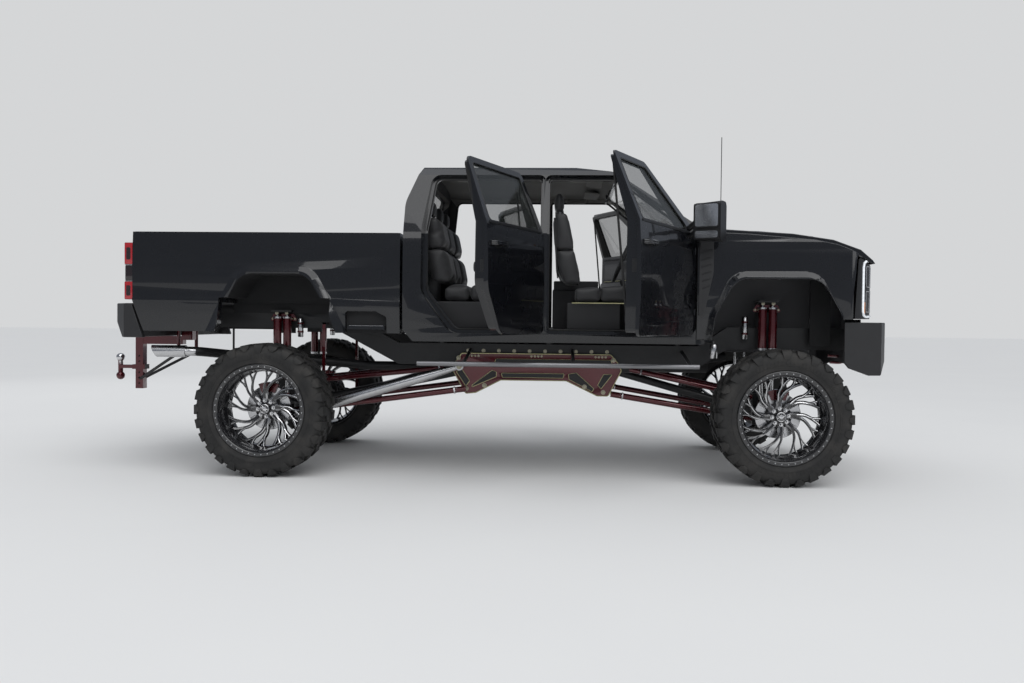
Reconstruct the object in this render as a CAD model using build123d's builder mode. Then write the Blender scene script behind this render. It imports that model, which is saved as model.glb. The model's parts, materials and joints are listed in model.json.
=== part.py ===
from build123d import *
import os

# Lifted four-door pickup truck on large mud tyres, drawn with its doors open.
# +X is forward, +Y is the left side, +Z is up, and the tyres stand on Z = 0.

os.makedirs("parts", exist_ok=True)

# Overall plan
WHEELBASE = 4059
REAR_OVERHANG = 1727          # rear axle to the back of the hitch balls
FRONT_OVERHANG = 912          # front axle to the face of the front bumper
LENGTH = REAR_OVERHANG + WHEELBASE + FRONT_OVERHANG
REAR_X = REAR_OVERHANG - LENGTH / 2
FRONT_X = REAR_X + WHEELBASE
BIG = 1500                    # half reach of cutting prisms, past every panel
FIT = 0.3                     # running clearance of parts seated on each other
SHUT_GAP = 6                  # gap between neighbouring closed panels

# Wheels
TYRE_R = 524
TYRE_W = 395
TYRE_Y = 1022                 # middle of the tread from the centre line
TREAD_DEPTH = 19
LUG_PAIRS = 10                # long and short shoulder lugs, in turn round the tread
BEAD_R = 352
RIM_LIP_R = BEAD_R + 10
RIM_BARREL_R = BEAD_R - 20    # outside of the barrel between the beads
RIM_DISH = 205                # lip to the face that the spokes leave
DISH_R = BEAD_R - 54          # inside of the barrel where the spokes meet it
HUB_R = 92
SPOKES = 8
HUB_FACE_Y = 907              # mounting face of the wheels

# Body side, half widths at four heights
SILL_Z, SILL_Y = 1075, 992
WAIST_Z, WAIST_Y = 1500, 1016
BELT_Z, BELT_Y = 1940, 1000
RAIL_Z, RAIL_Y = 2425, 800
ROOF_EDGE_Z, ROOF_EDGE_Y = 2500, 690
ROOF_Z = 2526
WALL_LOW, WALL_HIGH = 125, 64           # cab wall at the belt and at the rail
DOOR_LOW, DOOR_HIGH = 100, 44           # door thickness at the same heights
DOOR_SEAT = 5                           # air between a closed door and its seal

# Load bed
BED_REAR_X = REAR_X - 1100
BED_FRONT_X = REAR_X + 1071
BED_LOW_Z = 1135
BED_RAIL_Z = 1932
BED_FLOOR_Z = 1405
BED_FLOOR_T = 34
BED_INNER_Y = 830
BED_HEAD_T = 60
SHOULDER_Z = 1400                       # crease along the bed's sides
HOUSE_Y = 560                           # inner side of the wheel houses
HOUSE_T = 28
ARCH_TOP_Z = 1603
TAILGATE_T = 62
TAILGATE_HALF_W = 792
GATE_PIVOT_X = BED_REAR_X + TAILGATE_T / 2
GATE_PIVOT_Z = BED_FLOOR_Z + SHUT_GAP + TAILGATE_T / 2
GATE_PIN_R = 11
GATE_PIN_REACH = 18

# Cab
CAB_GAP = 22
CAB_REAR_X = BED_FRONT_X + CAB_GAP
CAB_FRONT_X = FRONT_X - 579
ROOF_REAR_X = CAB_REAR_X + 125
HEADER_X = CAB_FRONT_X - 725
HEADER_Z = 2462
CAB_BACK_T = 62
ROOF_T = 46
FIREWALL_T = 58
GLASS_T = 6
GLASS_SET = 10                          # glass face behind the outer skin

# Doors, closed outlines
HINGE_R = 12                            # rolled front edge about the hinge pin
PIN_R = 5
EDGE_ROLL = 8                           # chamfer of the skin's front edge
FRONT_DOOR_X = CAB_FRONT_X - 80
REAR_DOOR_BACK_X = CAB_REAR_X + 150
FRONT_DOOR_LENGTH = int(0.548 * (FRONT_DOOR_X - REAR_DOOR_BACK_X))
REAR_DOOR_X = FRONT_DOOR_X - FRONT_DOOR_LENGTH - SHUT_GAP
DOOR_LOW_Z = 1148
DOOR_TOP_Z = 2418
SEAL_STEP = 26                          # inner body of a door inside its skin
SKIN_T = 16
CAB_FLOOR_Z = DOOR_LOW_Z + SEAL_STEP + SHUT_GAP
HINGE_Y = WAIST_Y - HINGE_R
HINGE_HEIGHTS = (1330, 1800)
HINGE_H = 46
FRONT_DOOR_OPEN = 64
REAR_DOOR_OPEN = 67.5

# Front end
FENDER_TOP_Z = 1958
FENDER_LOW_Z = 1112
FENDER_T = 46
CAB_CORNER_Y = WAIST_Y - FENDER_T - 20  # cab corner under the fender's lap
NOSE_X = FRONT_X + 803
HOOD_HALF_W = 905
HOOD_BACK_X = CAB_FRONT_X + 32
HOOD_UNDER_Z = 1964                     # underside of the hood at its back edge
HOOD_PIVOT_X, HOOD_PIVOT_Z = CAB_FRONT_X + 16, HOOD_UNDER_Z
HOOD_HINGE_Y = 600
HOOD_LUG_R = 11
HOOD_PIN_R = 6
BUMPER_LOW_Z, BUMPER_TOP_Z = 846, 1262

# Chassis
RAIL_H = 180
RAIL_W = 76
RAIL_OUT_Y = 505
FRAME_LOW_Z = 870                       # underside of the rails below the cab
AXLE_TUBE_R = 55
TRACK_PIN_Y = 742                       # steering axis at the wheel centre height
DIFF_R = 178
YOKE_BACK = 58                          # steering axis to the web of the axle's yoke
ARM_REACH = 188                         # steering axis to the tie rod, ahead of the axle
LINK_REACH = 105                        # axle line to the ends of the links
BRACKET_T = 27
BRACKET_Y = RAIL_OUT_Y + FIT            # inner face of the link brackets


def prism(plane, points, length, radius=0, mode=Mode.ADD):
    """Closed outline on a plane, drawn out to both sides; a radius, or one for each corner."""
    with BuildSketch(plane) as face:
        with BuildLine():
            if radius:
                FilletPolyline(*points, radius=radius, close=True)
            else:
                Polyline(*points, close=True)
        make_face()
    extrude(face.sketch, amount=length, both=True, mode=mode)


def slab(plane, points, length, radius=0, mode=Mode.ADD):
    """Closed outline on a plane, drawn out along the plane's normal."""
    with BuildSketch(plane) as face:
        with BuildLine():
            if radius:
                FilletPolyline(*points, radius=radius, close=True)
            else:
                Polyline(*points, close=True)
        make_face()
    extrude(face.sketch, amount=length, mode=mode)


def block(low, high, mode=Mode.ADD):
    """Plain box between two corners."""
    centre = [(a + b) / 2 for a, b in zip(low, high)]
    size = [b - a for a, b in zip(low, high)]
    with Locations(tuple(centre)):
        Box(*size, mode=mode)


def rod(start, end, radius, mode=Mode.ADD):
    """Round bar from one point to another."""
    axis = Vector(*end) - Vector(*start)
    with BuildSketch(Plane(origin=start, z_dir=axis)) as face:
        Circle(radius)
    extrude(face.sketch, amount=axis.length, mode=mode)


def side_band(x_low, x_high, depth_low, depth_high, skin=0.0):
    """Right-hand wall whose outer face lies `skin` inside the body's side."""
    with BuildSketch(Plane.YZ.offset(x_low)) as face:
        with BuildLine():
            side = ThreePointArc(
                (skin - SILL_Y, SILL_Z), (skin - WAIST_Y, WAIST_Z), (skin - BELT_Y, BELT_Z)
            )
            lean = Line(side @ 1, (skin - RAIL_Y, RAIL_Z))
            top = Line(lean @ 1, (depth_high - RAIL_Y, RAIL_Z))
            back = Line(top @ 1, (depth_low - BELT_Y, BELT_Z))
            low = Line(back @ 1, (depth_low - SILL_Y, SILL_Z))
            Line(low @ 1, side @ 0)
        make_face()
    extrude(face.sketch, amount=x_high - x_low)


def cab_section(x_low, x_high, wall_low, wall_high, roof, floor_z):
    """Cab cross-section between two stations, set in by its wall and roof."""
    with BuildSketch(Plane.YZ.offset(x_low)) as face:
        with BuildLine():
            foot, belt = (SILL_Y - wall_low, floor_z), (BELT_Y - wall_low, BELT_Z)
            # The lining inside is flat, the skin outside is bowed
            if wall_low:
                side = Line(foot, belt)
            else:
                side = ThreePointArc(foot, (WAIST_Y, WAIST_Z), belt)
            lean = Line(side @ 1, (RAIL_Y - wall_high, RAIL_Z))
            corner = Line(lean @ 1, (ROOF_EDGE_Y - wall_high, ROOF_EDGE_Z - roof))
            crown = ThreePointArc(
                corner @ 1, (0, ROOF_Z - roof), (wall_high - ROOF_EDGE_Y, ROOF_EDGE_Z - roof)
            )
            far = Line(crown @ 1, (wall_high - RAIL_Y, RAIL_Z))
            far_lean = Line(far @ 1, (-belt[0], belt[1]))
            if wall_low:
                far_side = Line(far_lean @ 1, (-foot[0], foot[1]))
            else:
                far_side = ThreePointArc(far_lean @ 1, (-WAIST_Y, WAIST_Z), (-foot[0], foot[1]))
            Line(far_side @ 1, side @ 0)
        make_face()
    extrude(face.sketch, amount=x_high - x_low)


# Outlines of the closed doors and their windows, seen from the side
def grown(points, centre, by):
    """Outline moved out from a centre by a fixed step on each side."""
    result = []
    for x, z in points:
        step_x = by if x > centre[0] else -by
        step_z = by if z > centre[1] else -by
        result.append((x + step_x, z + step_z))
    return result


FRONT_DOOR_BACK_X = FRONT_DOOR_X - FRONT_DOOR_LENGTH
A_POST_TOP_X = HEADER_X + 40
FRONT_DOOR_OUTLINE = [
    (FRONT_DOOR_BACK_X, DOOR_LOW_Z),
    (FRONT_DOOR_X, DOOR_LOW_Z),
    (FRONT_DOOR_X, BELT_Z + 20),
    (A_POST_TOP_X, DOOR_TOP_Z),
    (FRONT_DOOR_BACK_X, DOOR_TOP_Z),
]
FRONT_WINDOW = [
    (FRONT_DOOR_BACK_X + 62, BELT_Z + 8),
    (FRONT_DOOR_X - 205, BELT_Z + 8),
    (FRONT_DOOR_X - 170, BELT_Z + 45),
    (A_POST_TOP_X - 34, DOOR_TOP_Z - 48),
    (FRONT_DOOR_BACK_X + 62, DOOR_TOP_Z - 48),
]
REAR_DOOR_OUTLINE = [
    (REAR_DOOR_BACK_X + 235, DOOR_LOW_Z),
    (REAR_DOOR_X, DOOR_LOW_Z),
    (REAR_DOOR_X, DOOR_TOP_Z),
    (REAR_DOOR_BACK_X + 62, DOOR_TOP_Z),
    (REAR_DOOR_BACK_X, BELT_Z + 40),
    (REAR_DOOR_BACK_X, DOOR_LOW_Z + 320),
]
REAR_WINDOW = [
    (REAR_DOOR_BACK_X + 58, BELT_Z + 8),
    (REAR_DOOR_X - 62, BELT_Z + 8),
    (REAR_DOOR_X - 62, DOOR_TOP_Z - 48),
    (REAR_DOOR_BACK_X + 112, DOOR_TOP_Z - 48),
]
# Corner radii of the outlines, one for each point
FRONT_DOOR_RADII = (48, 70, 70, 90, 48)
REAR_DOOR_RADII = (120, 48, 48, 80, 220, 170)
CAB_SIDE_RADII = (0, 0, 260, 80, 160, 110, 6, 6, 20)
FRONT_DOOR_MID = ((FRONT_DOOR_X + FRONT_DOOR_BACK_X) / 2, WAIST_Z)
REAR_DOOR_MID = ((REAR_DOOR_X + REAR_DOOR_BACK_X) / 2, WAIST_Z)

# Cab shell: hollow cell with door openings, seal steps and glass openings
WINDSCREEN_FOOT_X = CAB_FRONT_X - 6
WINDSCREEN_FOOT_Z = 1962

with BuildPart() as cabin:
    cab_section(CAB_REAR_X, CAB_FRONT_X, WALL_LOW, WALL_HIGH, ROOF_T, CAB_FLOOR_Z)
    prism(
        Plane.XZ,
        [
            (CAB_REAR_X + CAB_BACK_T, CAB_FLOOR_Z),
            (CAB_REAR_X + CAB_BACK_T, BELT_Z),
            (ROOF_REAR_X + CAB_BACK_T, ROOF_Z),
            (HEADER_X - ROOF_T, ROOF_Z),
            (CAB_FRONT_X - FIREWALL_T, WINDSCREEN_FOOT_Z - ROOF_T),
            (CAB_FRONT_X - FIREWALL_T, CAB_FLOOR_Z),
        ],
        BIG,
        mode=Mode.INTERSECT,
    )

with BuildPart() as cab_shell:
    cab_section(CAB_REAR_X, CAB_FRONT_X, 0, 0, 0, SILL_Z)
    prism(
        Plane.XZ,
        [
            (CAB_REAR_X + 80, SILL_Z),
            (CAB_REAR_X, SILL_Z + 90),
            (CAB_REAR_X, RAIL_Z - 235),
            (ROOF_REAR_X + 6, ROOF_Z + 8),
            (HEADER_X - 560, ROOF_Z + 8),
            (HEADER_X, HEADER_Z),
            (WINDSCREEN_FOOT_X, WINDSCREEN_FOOT_Z),
            (CAB_FRONT_X, WINDSCREEN_FOOT_Z - 20),
            (CAB_FRONT_X, SILL_Z),
        ],
        BIG,
        radius=CAB_SIDE_RADII,
        mode=Mode.INTERSECT,
    )
    add(cabin.part, mode=Mode.SUBTRACT)
    # Windscreen and rear window openings
    slab(
        Plane.YZ.offset(HEADER_X - 80),
        [(-905, 1992), (905, 1992), (700, HEADER_Z - 34), (-700, HEADER_Z - 34)],
        BIG,
        radius=40,
        mode=Mode.SUBTRACT,
    )
    slab(
        Plane.YZ.offset(CAB_REAR_X - 40),
        [(-800, BELT_Z + 30), (800, BELT_Z + 30), (690, 2395), (-690, 2395)],
        260,
        radius=60,
        mode=Mode.SUBTRACT,
    )

with BuildPart() as front_opening:
    side_band(
        FRONT_DOOR_BACK_X - 60, FRONT_DOOR_X + 60,
        DOOR_LOW + DOOR_SEAT, DOOR_HIGH + DOOR_SEAT, skin=-60,
    )
    prism(
        Plane.XZ, grown(FRONT_DOOR_OUTLINE, FRONT_DOOR_MID, SHUT_GAP), BIG,
        radius=[r + SHUT_GAP for r in FRONT_DOOR_RADII], mode=Mode.INTERSECT,
    )

with BuildPart() as front_doorway:
    prism(
        Plane.XZ.offset(BIG),
        grown(FRONT_DOOR_OUTLINE, FRONT_DOOR_MID, -SEAL_STEP - SHUT_GAP),
        BIG - 20,
        radius=[r - SEAL_STEP for r in FRONT_DOOR_RADII],
    )

with BuildPart() as rear_opening:
    side_band(
        REAR_DOOR_BACK_X - 60, REAR_DOOR_X + 60,
        DOOR_LOW + DOOR_SEAT, DOOR_HIGH + DOOR_SEAT, skin=-60,
    )
    prism(
        Plane.XZ, grown(REAR_DOOR_OUTLINE, REAR_DOOR_MID, SHUT_GAP), BIG,
        radius=[r + SHUT_GAP for r in REAR_DOOR_RADII], mode=Mode.INTERSECT,
    )

with BuildPart() as rear_doorway:
    prism(
        Plane.XZ.offset(BIG),
        grown(REAR_DOOR_OUTLINE, REAR_DOOR_MID, -SEAL_STEP - SHUT_GAP),
        BIG - 20,
        radius=[r - SEAL_STEP for r in REAR_DOOR_RADII],
    )

# Post between the doors' inner bodies, clear of the rolled edge of the rear door
POST_SET = SKIN_T + 16
POST_X = REAR_DOOR_X - SEAL_STEP + DOOR_SEAT
POST_LENGTH = 2 * (SEAL_STEP - DOOR_SEAT) + SHUT_GAP - 4
with BuildPart() as middle_post:
    low_set, high_set = DOOR_LOW + DOOR_SEAT + 4, DOOR_HIGH + DOOR_SEAT + 4
    slab(
        Plane.YZ.offset(POST_X),
        [
            (POST_SET - SILL_Y, SILL_Z), (POST_SET - BELT_Y, BELT_Z), (POST_SET - RAIL_Y, RAIL_Z),
            (high_set - RAIL_Y, RAIL_Z), (low_set - BELT_Y, BELT_Z), (low_set - SILL_Y, SILL_Z),
        ],
        POST_LENGTH,
    )
    prism(
        Plane.XZ,
        [
            (REAR_DOOR_X - BIG, DOOR_LOW_Z - SHUT_GAP - 2),
            (REAR_DOOR_X + BIG, DOOR_LOW_Z - SHUT_GAP - 2),
            (REAR_DOOR_X + BIG, DOOR_TOP_Z + SHUT_GAP + 2),
            (REAR_DOOR_X - BIG, DOOR_TOP_Z + SHUT_GAP + 2),
        ],
        BIG,
        mode=Mode.INTERSECT,
    )

with BuildPart() as cab:
    add(cab_shell.part)
    for cutter in (front_opening, front_doorway, rear_opening, rear_doorway):
        add(cutter.part, mode=Mode.SUBTRACT)
        add(cutter.part.mirror(Plane.XZ), mode=Mode.SUBTRACT)
    add(middle_post.part)
    add(middle_post.part.mirror(Plane.XZ))
    # The fenders lap over the front corners
    for side in (-1, 1):
        low_y, high_y = sorted((side * CAB_CORNER_Y, side * BIG))
        block(
            (FRONT_DOOR_X + SHUT_GAP / 2, low_y, SILL_Z - 10),
            (CAB_FRONT_X + 10, high_y, FENDER_TOP_Z + 16),
            mode=Mode.SUBTRACT,
        )
    # Hinge arms from the posts to the pin of each door
    for pin_x in (FRONT_DOOR_X - HINGE_R, REAR_DOOR_X - HINGE_R):
        for height in HINGE_HEIGHTS:
            for side in (-1, 1):
                arm_low = min(side * (HINGE_Y - PIN_R), side * (HINGE_Y - DOOR_LOW - 20))
                arm_high = max(side * (HINGE_Y - PIN_R), side * (HINGE_Y - DOOR_LOW - 20))
                block(
                    (pin_x - 7, arm_low, height - HINGE_H / 2),
                    (pin_x + 7, arm_high, height + HINGE_H / 2),
                )
                with Locations((pin_x, side * HINGE_Y, height)):
                    Cylinder(HINGE_R - 2, HINGE_H)
                    Cylinder(PIN_R + FIT, HINGE_H, mode=Mode.SUBTRACT)
                block(
                    (pin_x - 7, side * (HINGE_Y - DOOR_LOW) - 8, height - HINGE_H / 2),
                    (pin_x + HINGE_R + 18, side * (HINGE_Y - DOOR_LOW) + 8, height + HINGE_H / 2),
                )
    # Ears for the pins of the hood
    for side in (-1, 1):
        low_y, high_y = sorted((side * (HOOD_HINGE_Y + 36), side * (HOOD_HINGE_Y + 60)))
        block(
            (CAB_FRONT_X - 4, low_y, HOOD_PIVOT_Z - 60), (HOOD_PIVOT_X, high_y, HOOD_PIVOT_Z)
        )
        rod(
            (HOOD_PIVOT_X, low_y, HOOD_PIVOT_Z), (HOOD_PIVOT_X, high_y, HOOD_PIVOT_Z), HOOD_LUG_R
        )
        rod(
            (HOOD_PIVOT_X, low_y, HOOD_PIVOT_Z), (HOOD_PIVOT_X, high_y, HOOD_PIVOT_Z),
            HOOD_PIN_R + FIT, mode=Mode.SUBTRACT,
        )
cab.part.label = "cab_shell"
export_step(cab.part, "parts/cab_shell.step")

# Glass of the cab
with BuildPart() as cab_glass:
    prism(
        Plane.XZ,
        [
            (HEADER_X - GLASS_SET, HEADER_Z - GLASS_SET),
            (WINDSCREEN_FOOT_X - GLASS_SET, WINDSCREEN_FOOT_Z - GLASS_SET),
            (WINDSCREEN_FOOT_X - GLASS_SET - GLASS_T, WINDSCREEN_FOOT_Z - GLASS_SET - GLASS_T),
            (HEADER_X - GLASS_SET - GLASS_T, HEADER_Z - GLASS_SET - GLASS_T),
        ],
        BIG,
    )
    slab(
        Plane.YZ.offset(HEADER_X - 80),
        [(-905, 1992), (905, 1992), (700, HEADER_Z - 34), (-700, HEADER_Z - 34)],
        BIG,
        radius=40,
        mode=Mode.INTERSECT,
    )
with BuildPart() as back_glass:
    prism(
        Plane.XZ,
        [
            (CAB_REAR_X + GLASS_SET, BELT_Z),
            (ROOF_REAR_X + GLASS_SET, ROOF_EDGE_Z),
            (ROOF_REAR_X + GLASS_SET + GLASS_T, ROOF_EDGE_Z),
            (CAB_REAR_X + GLASS_SET + GLASS_T, BELT_Z),
        ],
        BIG,
    )
    slab(
        Plane.YZ.offset(CAB_REAR_X - 40),
        [(-800, BELT_Z + 30), (800, BELT_Z + 30), (690, 2395), (-690, 2395)],
        260,
        radius=60,
        mode=Mode.INTERSECT,
    )
with BuildPart() as cab_panes:
    add(cab_glass.part)
    add(back_glass.part)
cab_panes.part.label = "cab_glass"
export_step(cab_panes.part, "parts/cab_glass.step")


# Doors: modelled closed on the right side, then swung about their pins and mirrored
DOORS = (
    # name, outline, its radii, middle, window, front edge, back edge, open angle
    (
        "front_door", FRONT_DOOR_OUTLINE, FRONT_DOOR_RADII, FRONT_DOOR_MID, FRONT_WINDOW,
        FRONT_DOOR_X, FRONT_DOOR_BACK_X, FRONT_DOOR_OPEN,
    ),
    (
        "rear_door", REAR_DOOR_OUTLINE, REAR_DOOR_RADII, REAR_DOOR_MID, REAR_WINDOW,
        REAR_DOOR_X, REAR_DOOR_BACK_X, REAR_DOOR_OPEN,
    ),
)
closed_doors = {}
for name, outline, radii, middle, window, front_x, back_x, angle in DOORS:
    with BuildPart() as skin:
        side_band(back_x - 20, front_x + 20, SKIN_T, SKIN_T)
        prism(Plane.XZ, outline, BIG, radius=radii, mode=Mode.INTERSECT)
        # Rolled front edge: its outer corner stays near the pin's circle
        slab(
            Plane.XY.offset(DOOR_LOW_Z - 10),
            [
                (front_x - EDGE_ROLL, -WAIST_Y - 2), (front_x + 2, -WAIST_Y - 2),
                (front_x + 2, -WAIST_Y + EDGE_ROLL),
            ],
            BELT_Z - DOOR_LOW_Z,
            mode=Mode.SUBTRACT,
        )
    with BuildPart() as door:
        side_band(back_x - 20, front_x + 20, DOOR_LOW, DOOR_HIGH, skin=SKIN_T - 2)
        prism(
            Plane.XZ, grown(outline, middle, -SEAL_STEP), BIG,
            radius=[r - SEAL_STEP + 4 for r in radii], mode=Mode.INTERSECT,
        )
        add(skin.part)
        prism(Plane.XZ, window, BIG, radius=30, mode=Mode.SUBTRACT)
        # Space for the hinge arms, crossed by the pins
        for height in HINGE_HEIGHTS:
            block(
                (front_x - 2 * HINGE_R - 8, -WAIST_Y - 10, height - HINGE_H / 2 - SHUT_GAP),
                (front_x + 10, -WAIST_Y + DOOR_LOW + 30, height + HINGE_H / 2 + SHUT_GAP),
                mode=Mode.SUBTRACT,
            )
            with Locations((front_x - HINGE_R, -HINGE_Y, height)):
                Cylinder(PIN_R, HINGE_H + 2 * SHUT_GAP)
    with BuildPart() as pane:
        side_band(back_x - 20, front_x + 20, GLASS_SET + GLASS_T, GLASS_SET + GLASS_T, skin=GLASS_SET)
        prism(Plane.XZ, window, BIG, radius=30, mode=Mode.INTERSECT)
    axis = Axis((front_x - HINGE_R, -HINGE_Y, 0), (0, 0, 1))
    for part_name, piece in ((name, door), (name + "_glass", pane)):
        closed_doors[part_name] = piece.part
        opened = piece.part.rotate(axis, angle)
        for side, shape in (("right", opened), ("left", opened.mirror(Plane.XZ))):
            with BuildPart() as hung:
                add(shape)
            hung.part.label = part_name + "_" + side
            export_step(hung.part, "parts/" + part_name + "_" + side + ".step")

# Towing mirrors on the front doors
MIRROR_X = FRONT_DOOR_X - 150
with BuildPart() as mirror_closed:
    with BuildSketch(Plane.XZ.offset(WAIST_Y + 250)):
        with Locations((MIRROR_X, 2010)):
            RectangleRounded(150, 305, 40)
    extrude(amount=-215, taper=4)
    for outer_z, inner_z in ((2020, 1955), (1940, 1895)):
        rod((MIRROR_X, -WAIST_Y - 45, outer_z), (MIRROR_X + 25, -WAIST_Y + 45, inner_z), 22)
    add(closed_doors["front_door"], mode=Mode.SUBTRACT)
    add(closed_doors["front_door_glass"], mode=Mode.SUBTRACT)
FRONT_HINGE = Axis((FRONT_DOOR_X - HINGE_R, -HINGE_Y, 0), (0, 0, 1))
mirror_open = mirror_closed.part.rotate(FRONT_HINGE, FRONT_DOOR_OPEN)
for side, shape in (("right", mirror_open), ("left", mirror_open.mirror(Plane.XZ))):
    with BuildPart() as hung:
        add(shape)
    hung.part.label = "mirror_" + side
    export_step(hung.part, "parts/mirror_" + side + ".step")

# Load bed: outer box, cavity, wheel houses and arches
BED_ARCH = [
    (REAR_X - 430, BED_LOW_Z - 30),
    (REAR_X - 361, 1307),
    (REAR_X - 205, ARCH_TOP_Z),
    (REAR_X + 325, ARCH_TOP_Z),
    (REAR_X + 500, 1307),
    (REAR_X + 575, BED_LOW_Z - 30),
]
ARCH_RADII = (0, 170, 170, 170, 170, 0)
FLARE_ROOT_Y = 985                      # plane inside the wall that the flares rise from
FLARE_Y = WAIST_Y + 24
STEP_POCKET = [
    (REAR_X + 635, BED_LOW_Z - 60), (REAR_X + 635, 1309), (REAR_X + 880, 1309),
    (REAR_X + 966, 1265), (REAR_X + 966, BED_LOW_Z - 60),
]


def flare(points, slope):
    """Lens-shaped swelling of the right side round a wheel arch."""
    with BuildSketch(Plane.XZ.offset(FLARE_ROOT_Y)) as face:
        with BuildLine():
            FilletPolyline(*points, radius=(0, 230, 230, 230, 230, 0), close=True)
        make_face()
    extrude(face.sketch, amount=FLARE_Y - FLARE_ROOT_Y, taper=slope)


BED_FLARE = [
    (REAR_X - 430 - 140, BED_LOW_Z - 160), (REAR_X - 361 - 110, 1320),
    (REAR_X - 205 - 70, ARCH_TOP_Z + 114), (REAR_X + 325 + 70, ARCH_TOP_Z + 114),
    (REAR_X + 500 + 110, 1320), (REAR_X + 575 + 140, BED_LOW_Z - 160),
]
with BuildPart() as bed_flare:
    flare(BED_FLARE, 60)
    block(
        (REAR_X - BIG, -BIG, BED_LOW_Z), (REAR_X + BIG, BIG, BED_RAIL_Z), mode=Mode.INTERSECT
    )

with BuildPart() as load_bed:
    with BuildSketch(Plane.YZ.offset(BED_REAR_X)):
        with BuildLine():
            low = Line((-SILL_Y, BED_LOW_Z), (SILL_Y, BED_LOW_Z))
            left = ThreePointArc(low @ 1, (WAIST_Y - 4, 1300), (WAIST_Y, SHOULDER_Z - 10))
            ledge = Line(left @ 1, (WAIST_Y - 10, SHOULDER_Z + 12))
            rise = ThreePointArc(ledge @ 1, (WAIST_Y - 4, 1650), (BELT_Y, BED_RAIL_Z))
            top = Line(rise @ 1, (-BELT_Y, BED_RAIL_Z))
            far = ThreePointArc(top @ 1, (4 - WAIST_Y, 1650), (10 - WAIST_Y, SHOULDER_Z + 12))
            far_ledge = Line(far @ 1, (-WAIST_Y, SHOULDER_Z - 10))
            ThreePointArc(far_ledge @ 1, (4 - WAIST_Y, 1300), low @ 0)
        make_face()
    extrude(amount=BED_FRONT_X - BED_REAR_X)
    prism(
        Plane.XZ,
        [
            (BED_REAR_X + 125, BED_LOW_Z - 130),
            (BED_FRONT_X, BED_LOW_Z - 70),
            (BED_FRONT_X, BED_RAIL_Z),
            (BED_REAR_X, BED_RAIL_Z),
            (BED_REAR_X, 1380),
        ],
        BIG,
        mode=Mode.INTERSECT,
    )
    add(bed_flare.part)
    add(bed_flare.part.mirror(Plane.XZ))
    # Cavity above the floor, tailgate opening and hollow below the floor
    block(
        (BED_REAR_X + TAILGATE_T + SHUT_GAP, -BED_INNER_Y, BED_FLOOR_Z),
        (BED_FRONT_X - BED_HEAD_T, BED_INNER_Y, BED_RAIL_Z + 10),
        mode=Mode.SUBTRACT,
    )
    block(
        (BED_REAR_X - 10, -TAILGATE_HALF_W - SHUT_GAP, BED_FLOOR_Z),
        (BED_REAR_X + TAILGATE_T + SHUT_GAP, TAILGATE_HALF_W + SHUT_GAP, BED_RAIL_Z + 10),
        mode=Mode.SUBTRACT,
    )
    block(
        (BED_REAR_X - 10, -SILL_Y + 62, BED_LOW_Z - 140),
        (BED_FRONT_X - 40, SILL_Y - 62, BED_FLOOR_Z - BED_FLOOR_T),
        mode=Mode.SUBTRACT,
    )
    # Wheel houses rise through the floor
    for side in (-1, 1):
        block(
            (REAR_X - 420, min(side * HOUSE_Y, side * (BED_INNER_Y + 2)), BED_FLOOR_Z - 2),
            (REAR_X + 540, max(side * HOUSE_Y, side * (BED_INNER_Y + 2)), ARCH_TOP_Z + HOUSE_T),
        )
        block(
            (REAR_X - 420 + HOUSE_T, min(side * (HOUSE_Y + HOUSE_T), side * BIG), BED_LOW_Z - 140),
            (REAR_X + 540 - HOUSE_T, max(side * (HOUSE_Y + HOUSE_T), side * BIG), BED_FLOOR_Z + 4),
            mode=Mode.SUBTRACT,
        )
        with BuildSketch(Plane.XZ.offset(-side * (HOUSE_Y + HOUSE_T))):
            with BuildLine():
                FilletPolyline(*BED_ARCH, radius=ARCH_RADII, close=True)
            make_face()
        extrude(amount=side * BIG * -1, mode=Mode.SUBTRACT)
        # Step pocket ahead of the wheel, with its tread
        with BuildSketch(Plane.XZ.offset(-side * (WAIST_Y - 62))):
            with BuildLine():
                FilletPolyline(*STEP_POCKET, radius=24, close=True)
            make_face()
        extrude(amount=side * 200 * -1, mode=Mode.SUBTRACT)
        low_y, high_y = sorted((side * (WAIST_Y - 64), side * (WAIST_Y - 14)))
        block((REAR_X + 650, low_y, 1165), (REAR_X + 950, high_y, 1192))
    rod(
        (GATE_PIVOT_X, -TAILGATE_HALF_W - GATE_PIN_REACH - 1, GATE_PIVOT_Z),
        (GATE_PIVOT_X, TAILGATE_HALF_W + GATE_PIN_REACH + 1, GATE_PIVOT_Z),
        GATE_PIN_R + FIT,
        mode=Mode.SUBTRACT,
    )
load_bed.part.label = "load_bed"
export_step(load_bed.part, "parts/load_bed.step")

# Tailgate, hinged at the floor: its foot is round about the pins
with BuildPart() as tailgate:
    block(
        (BED_REAR_X, -TAILGATE_HALF_W, GATE_PIVOT_Z),
        (BED_REAR_X + TAILGATE_T, TAILGATE_HALF_W, BED_RAIL_Z - 20),
    )
    rod(
        (GATE_PIVOT_X, -TAILGATE_HALF_W, GATE_PIVOT_Z), (GATE_PIVOT_X, TAILGATE_HALF_W, GATE_PIVOT_Z),
        TAILGATE_T / 2,
    )
    rod(
        (GATE_PIVOT_X, -TAILGATE_HALF_W - GATE_PIN_REACH, GATE_PIVOT_Z),
        (GATE_PIVOT_X, TAILGATE_HALF_W + GATE_PIN_REACH, GATE_PIVOT_Z),
        GATE_PIN_R,
    )
    slab(
        Plane.XZ.offset(-TAILGATE_HALF_W + 20),
        [
            (BED_REAR_X - 42, BED_RAIL_Z - 26),
            (BED_REAR_X + TAILGATE_T, BED_RAIL_Z - 26),
            (BED_REAR_X + TAILGATE_T, BED_RAIL_Z + 4),
            (BED_REAR_X - 30, BED_RAIL_Z + 4),
        ],
        2 * (TAILGATE_HALF_W - 20),
    )
tailgate.part.label = "tailgate"
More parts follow.
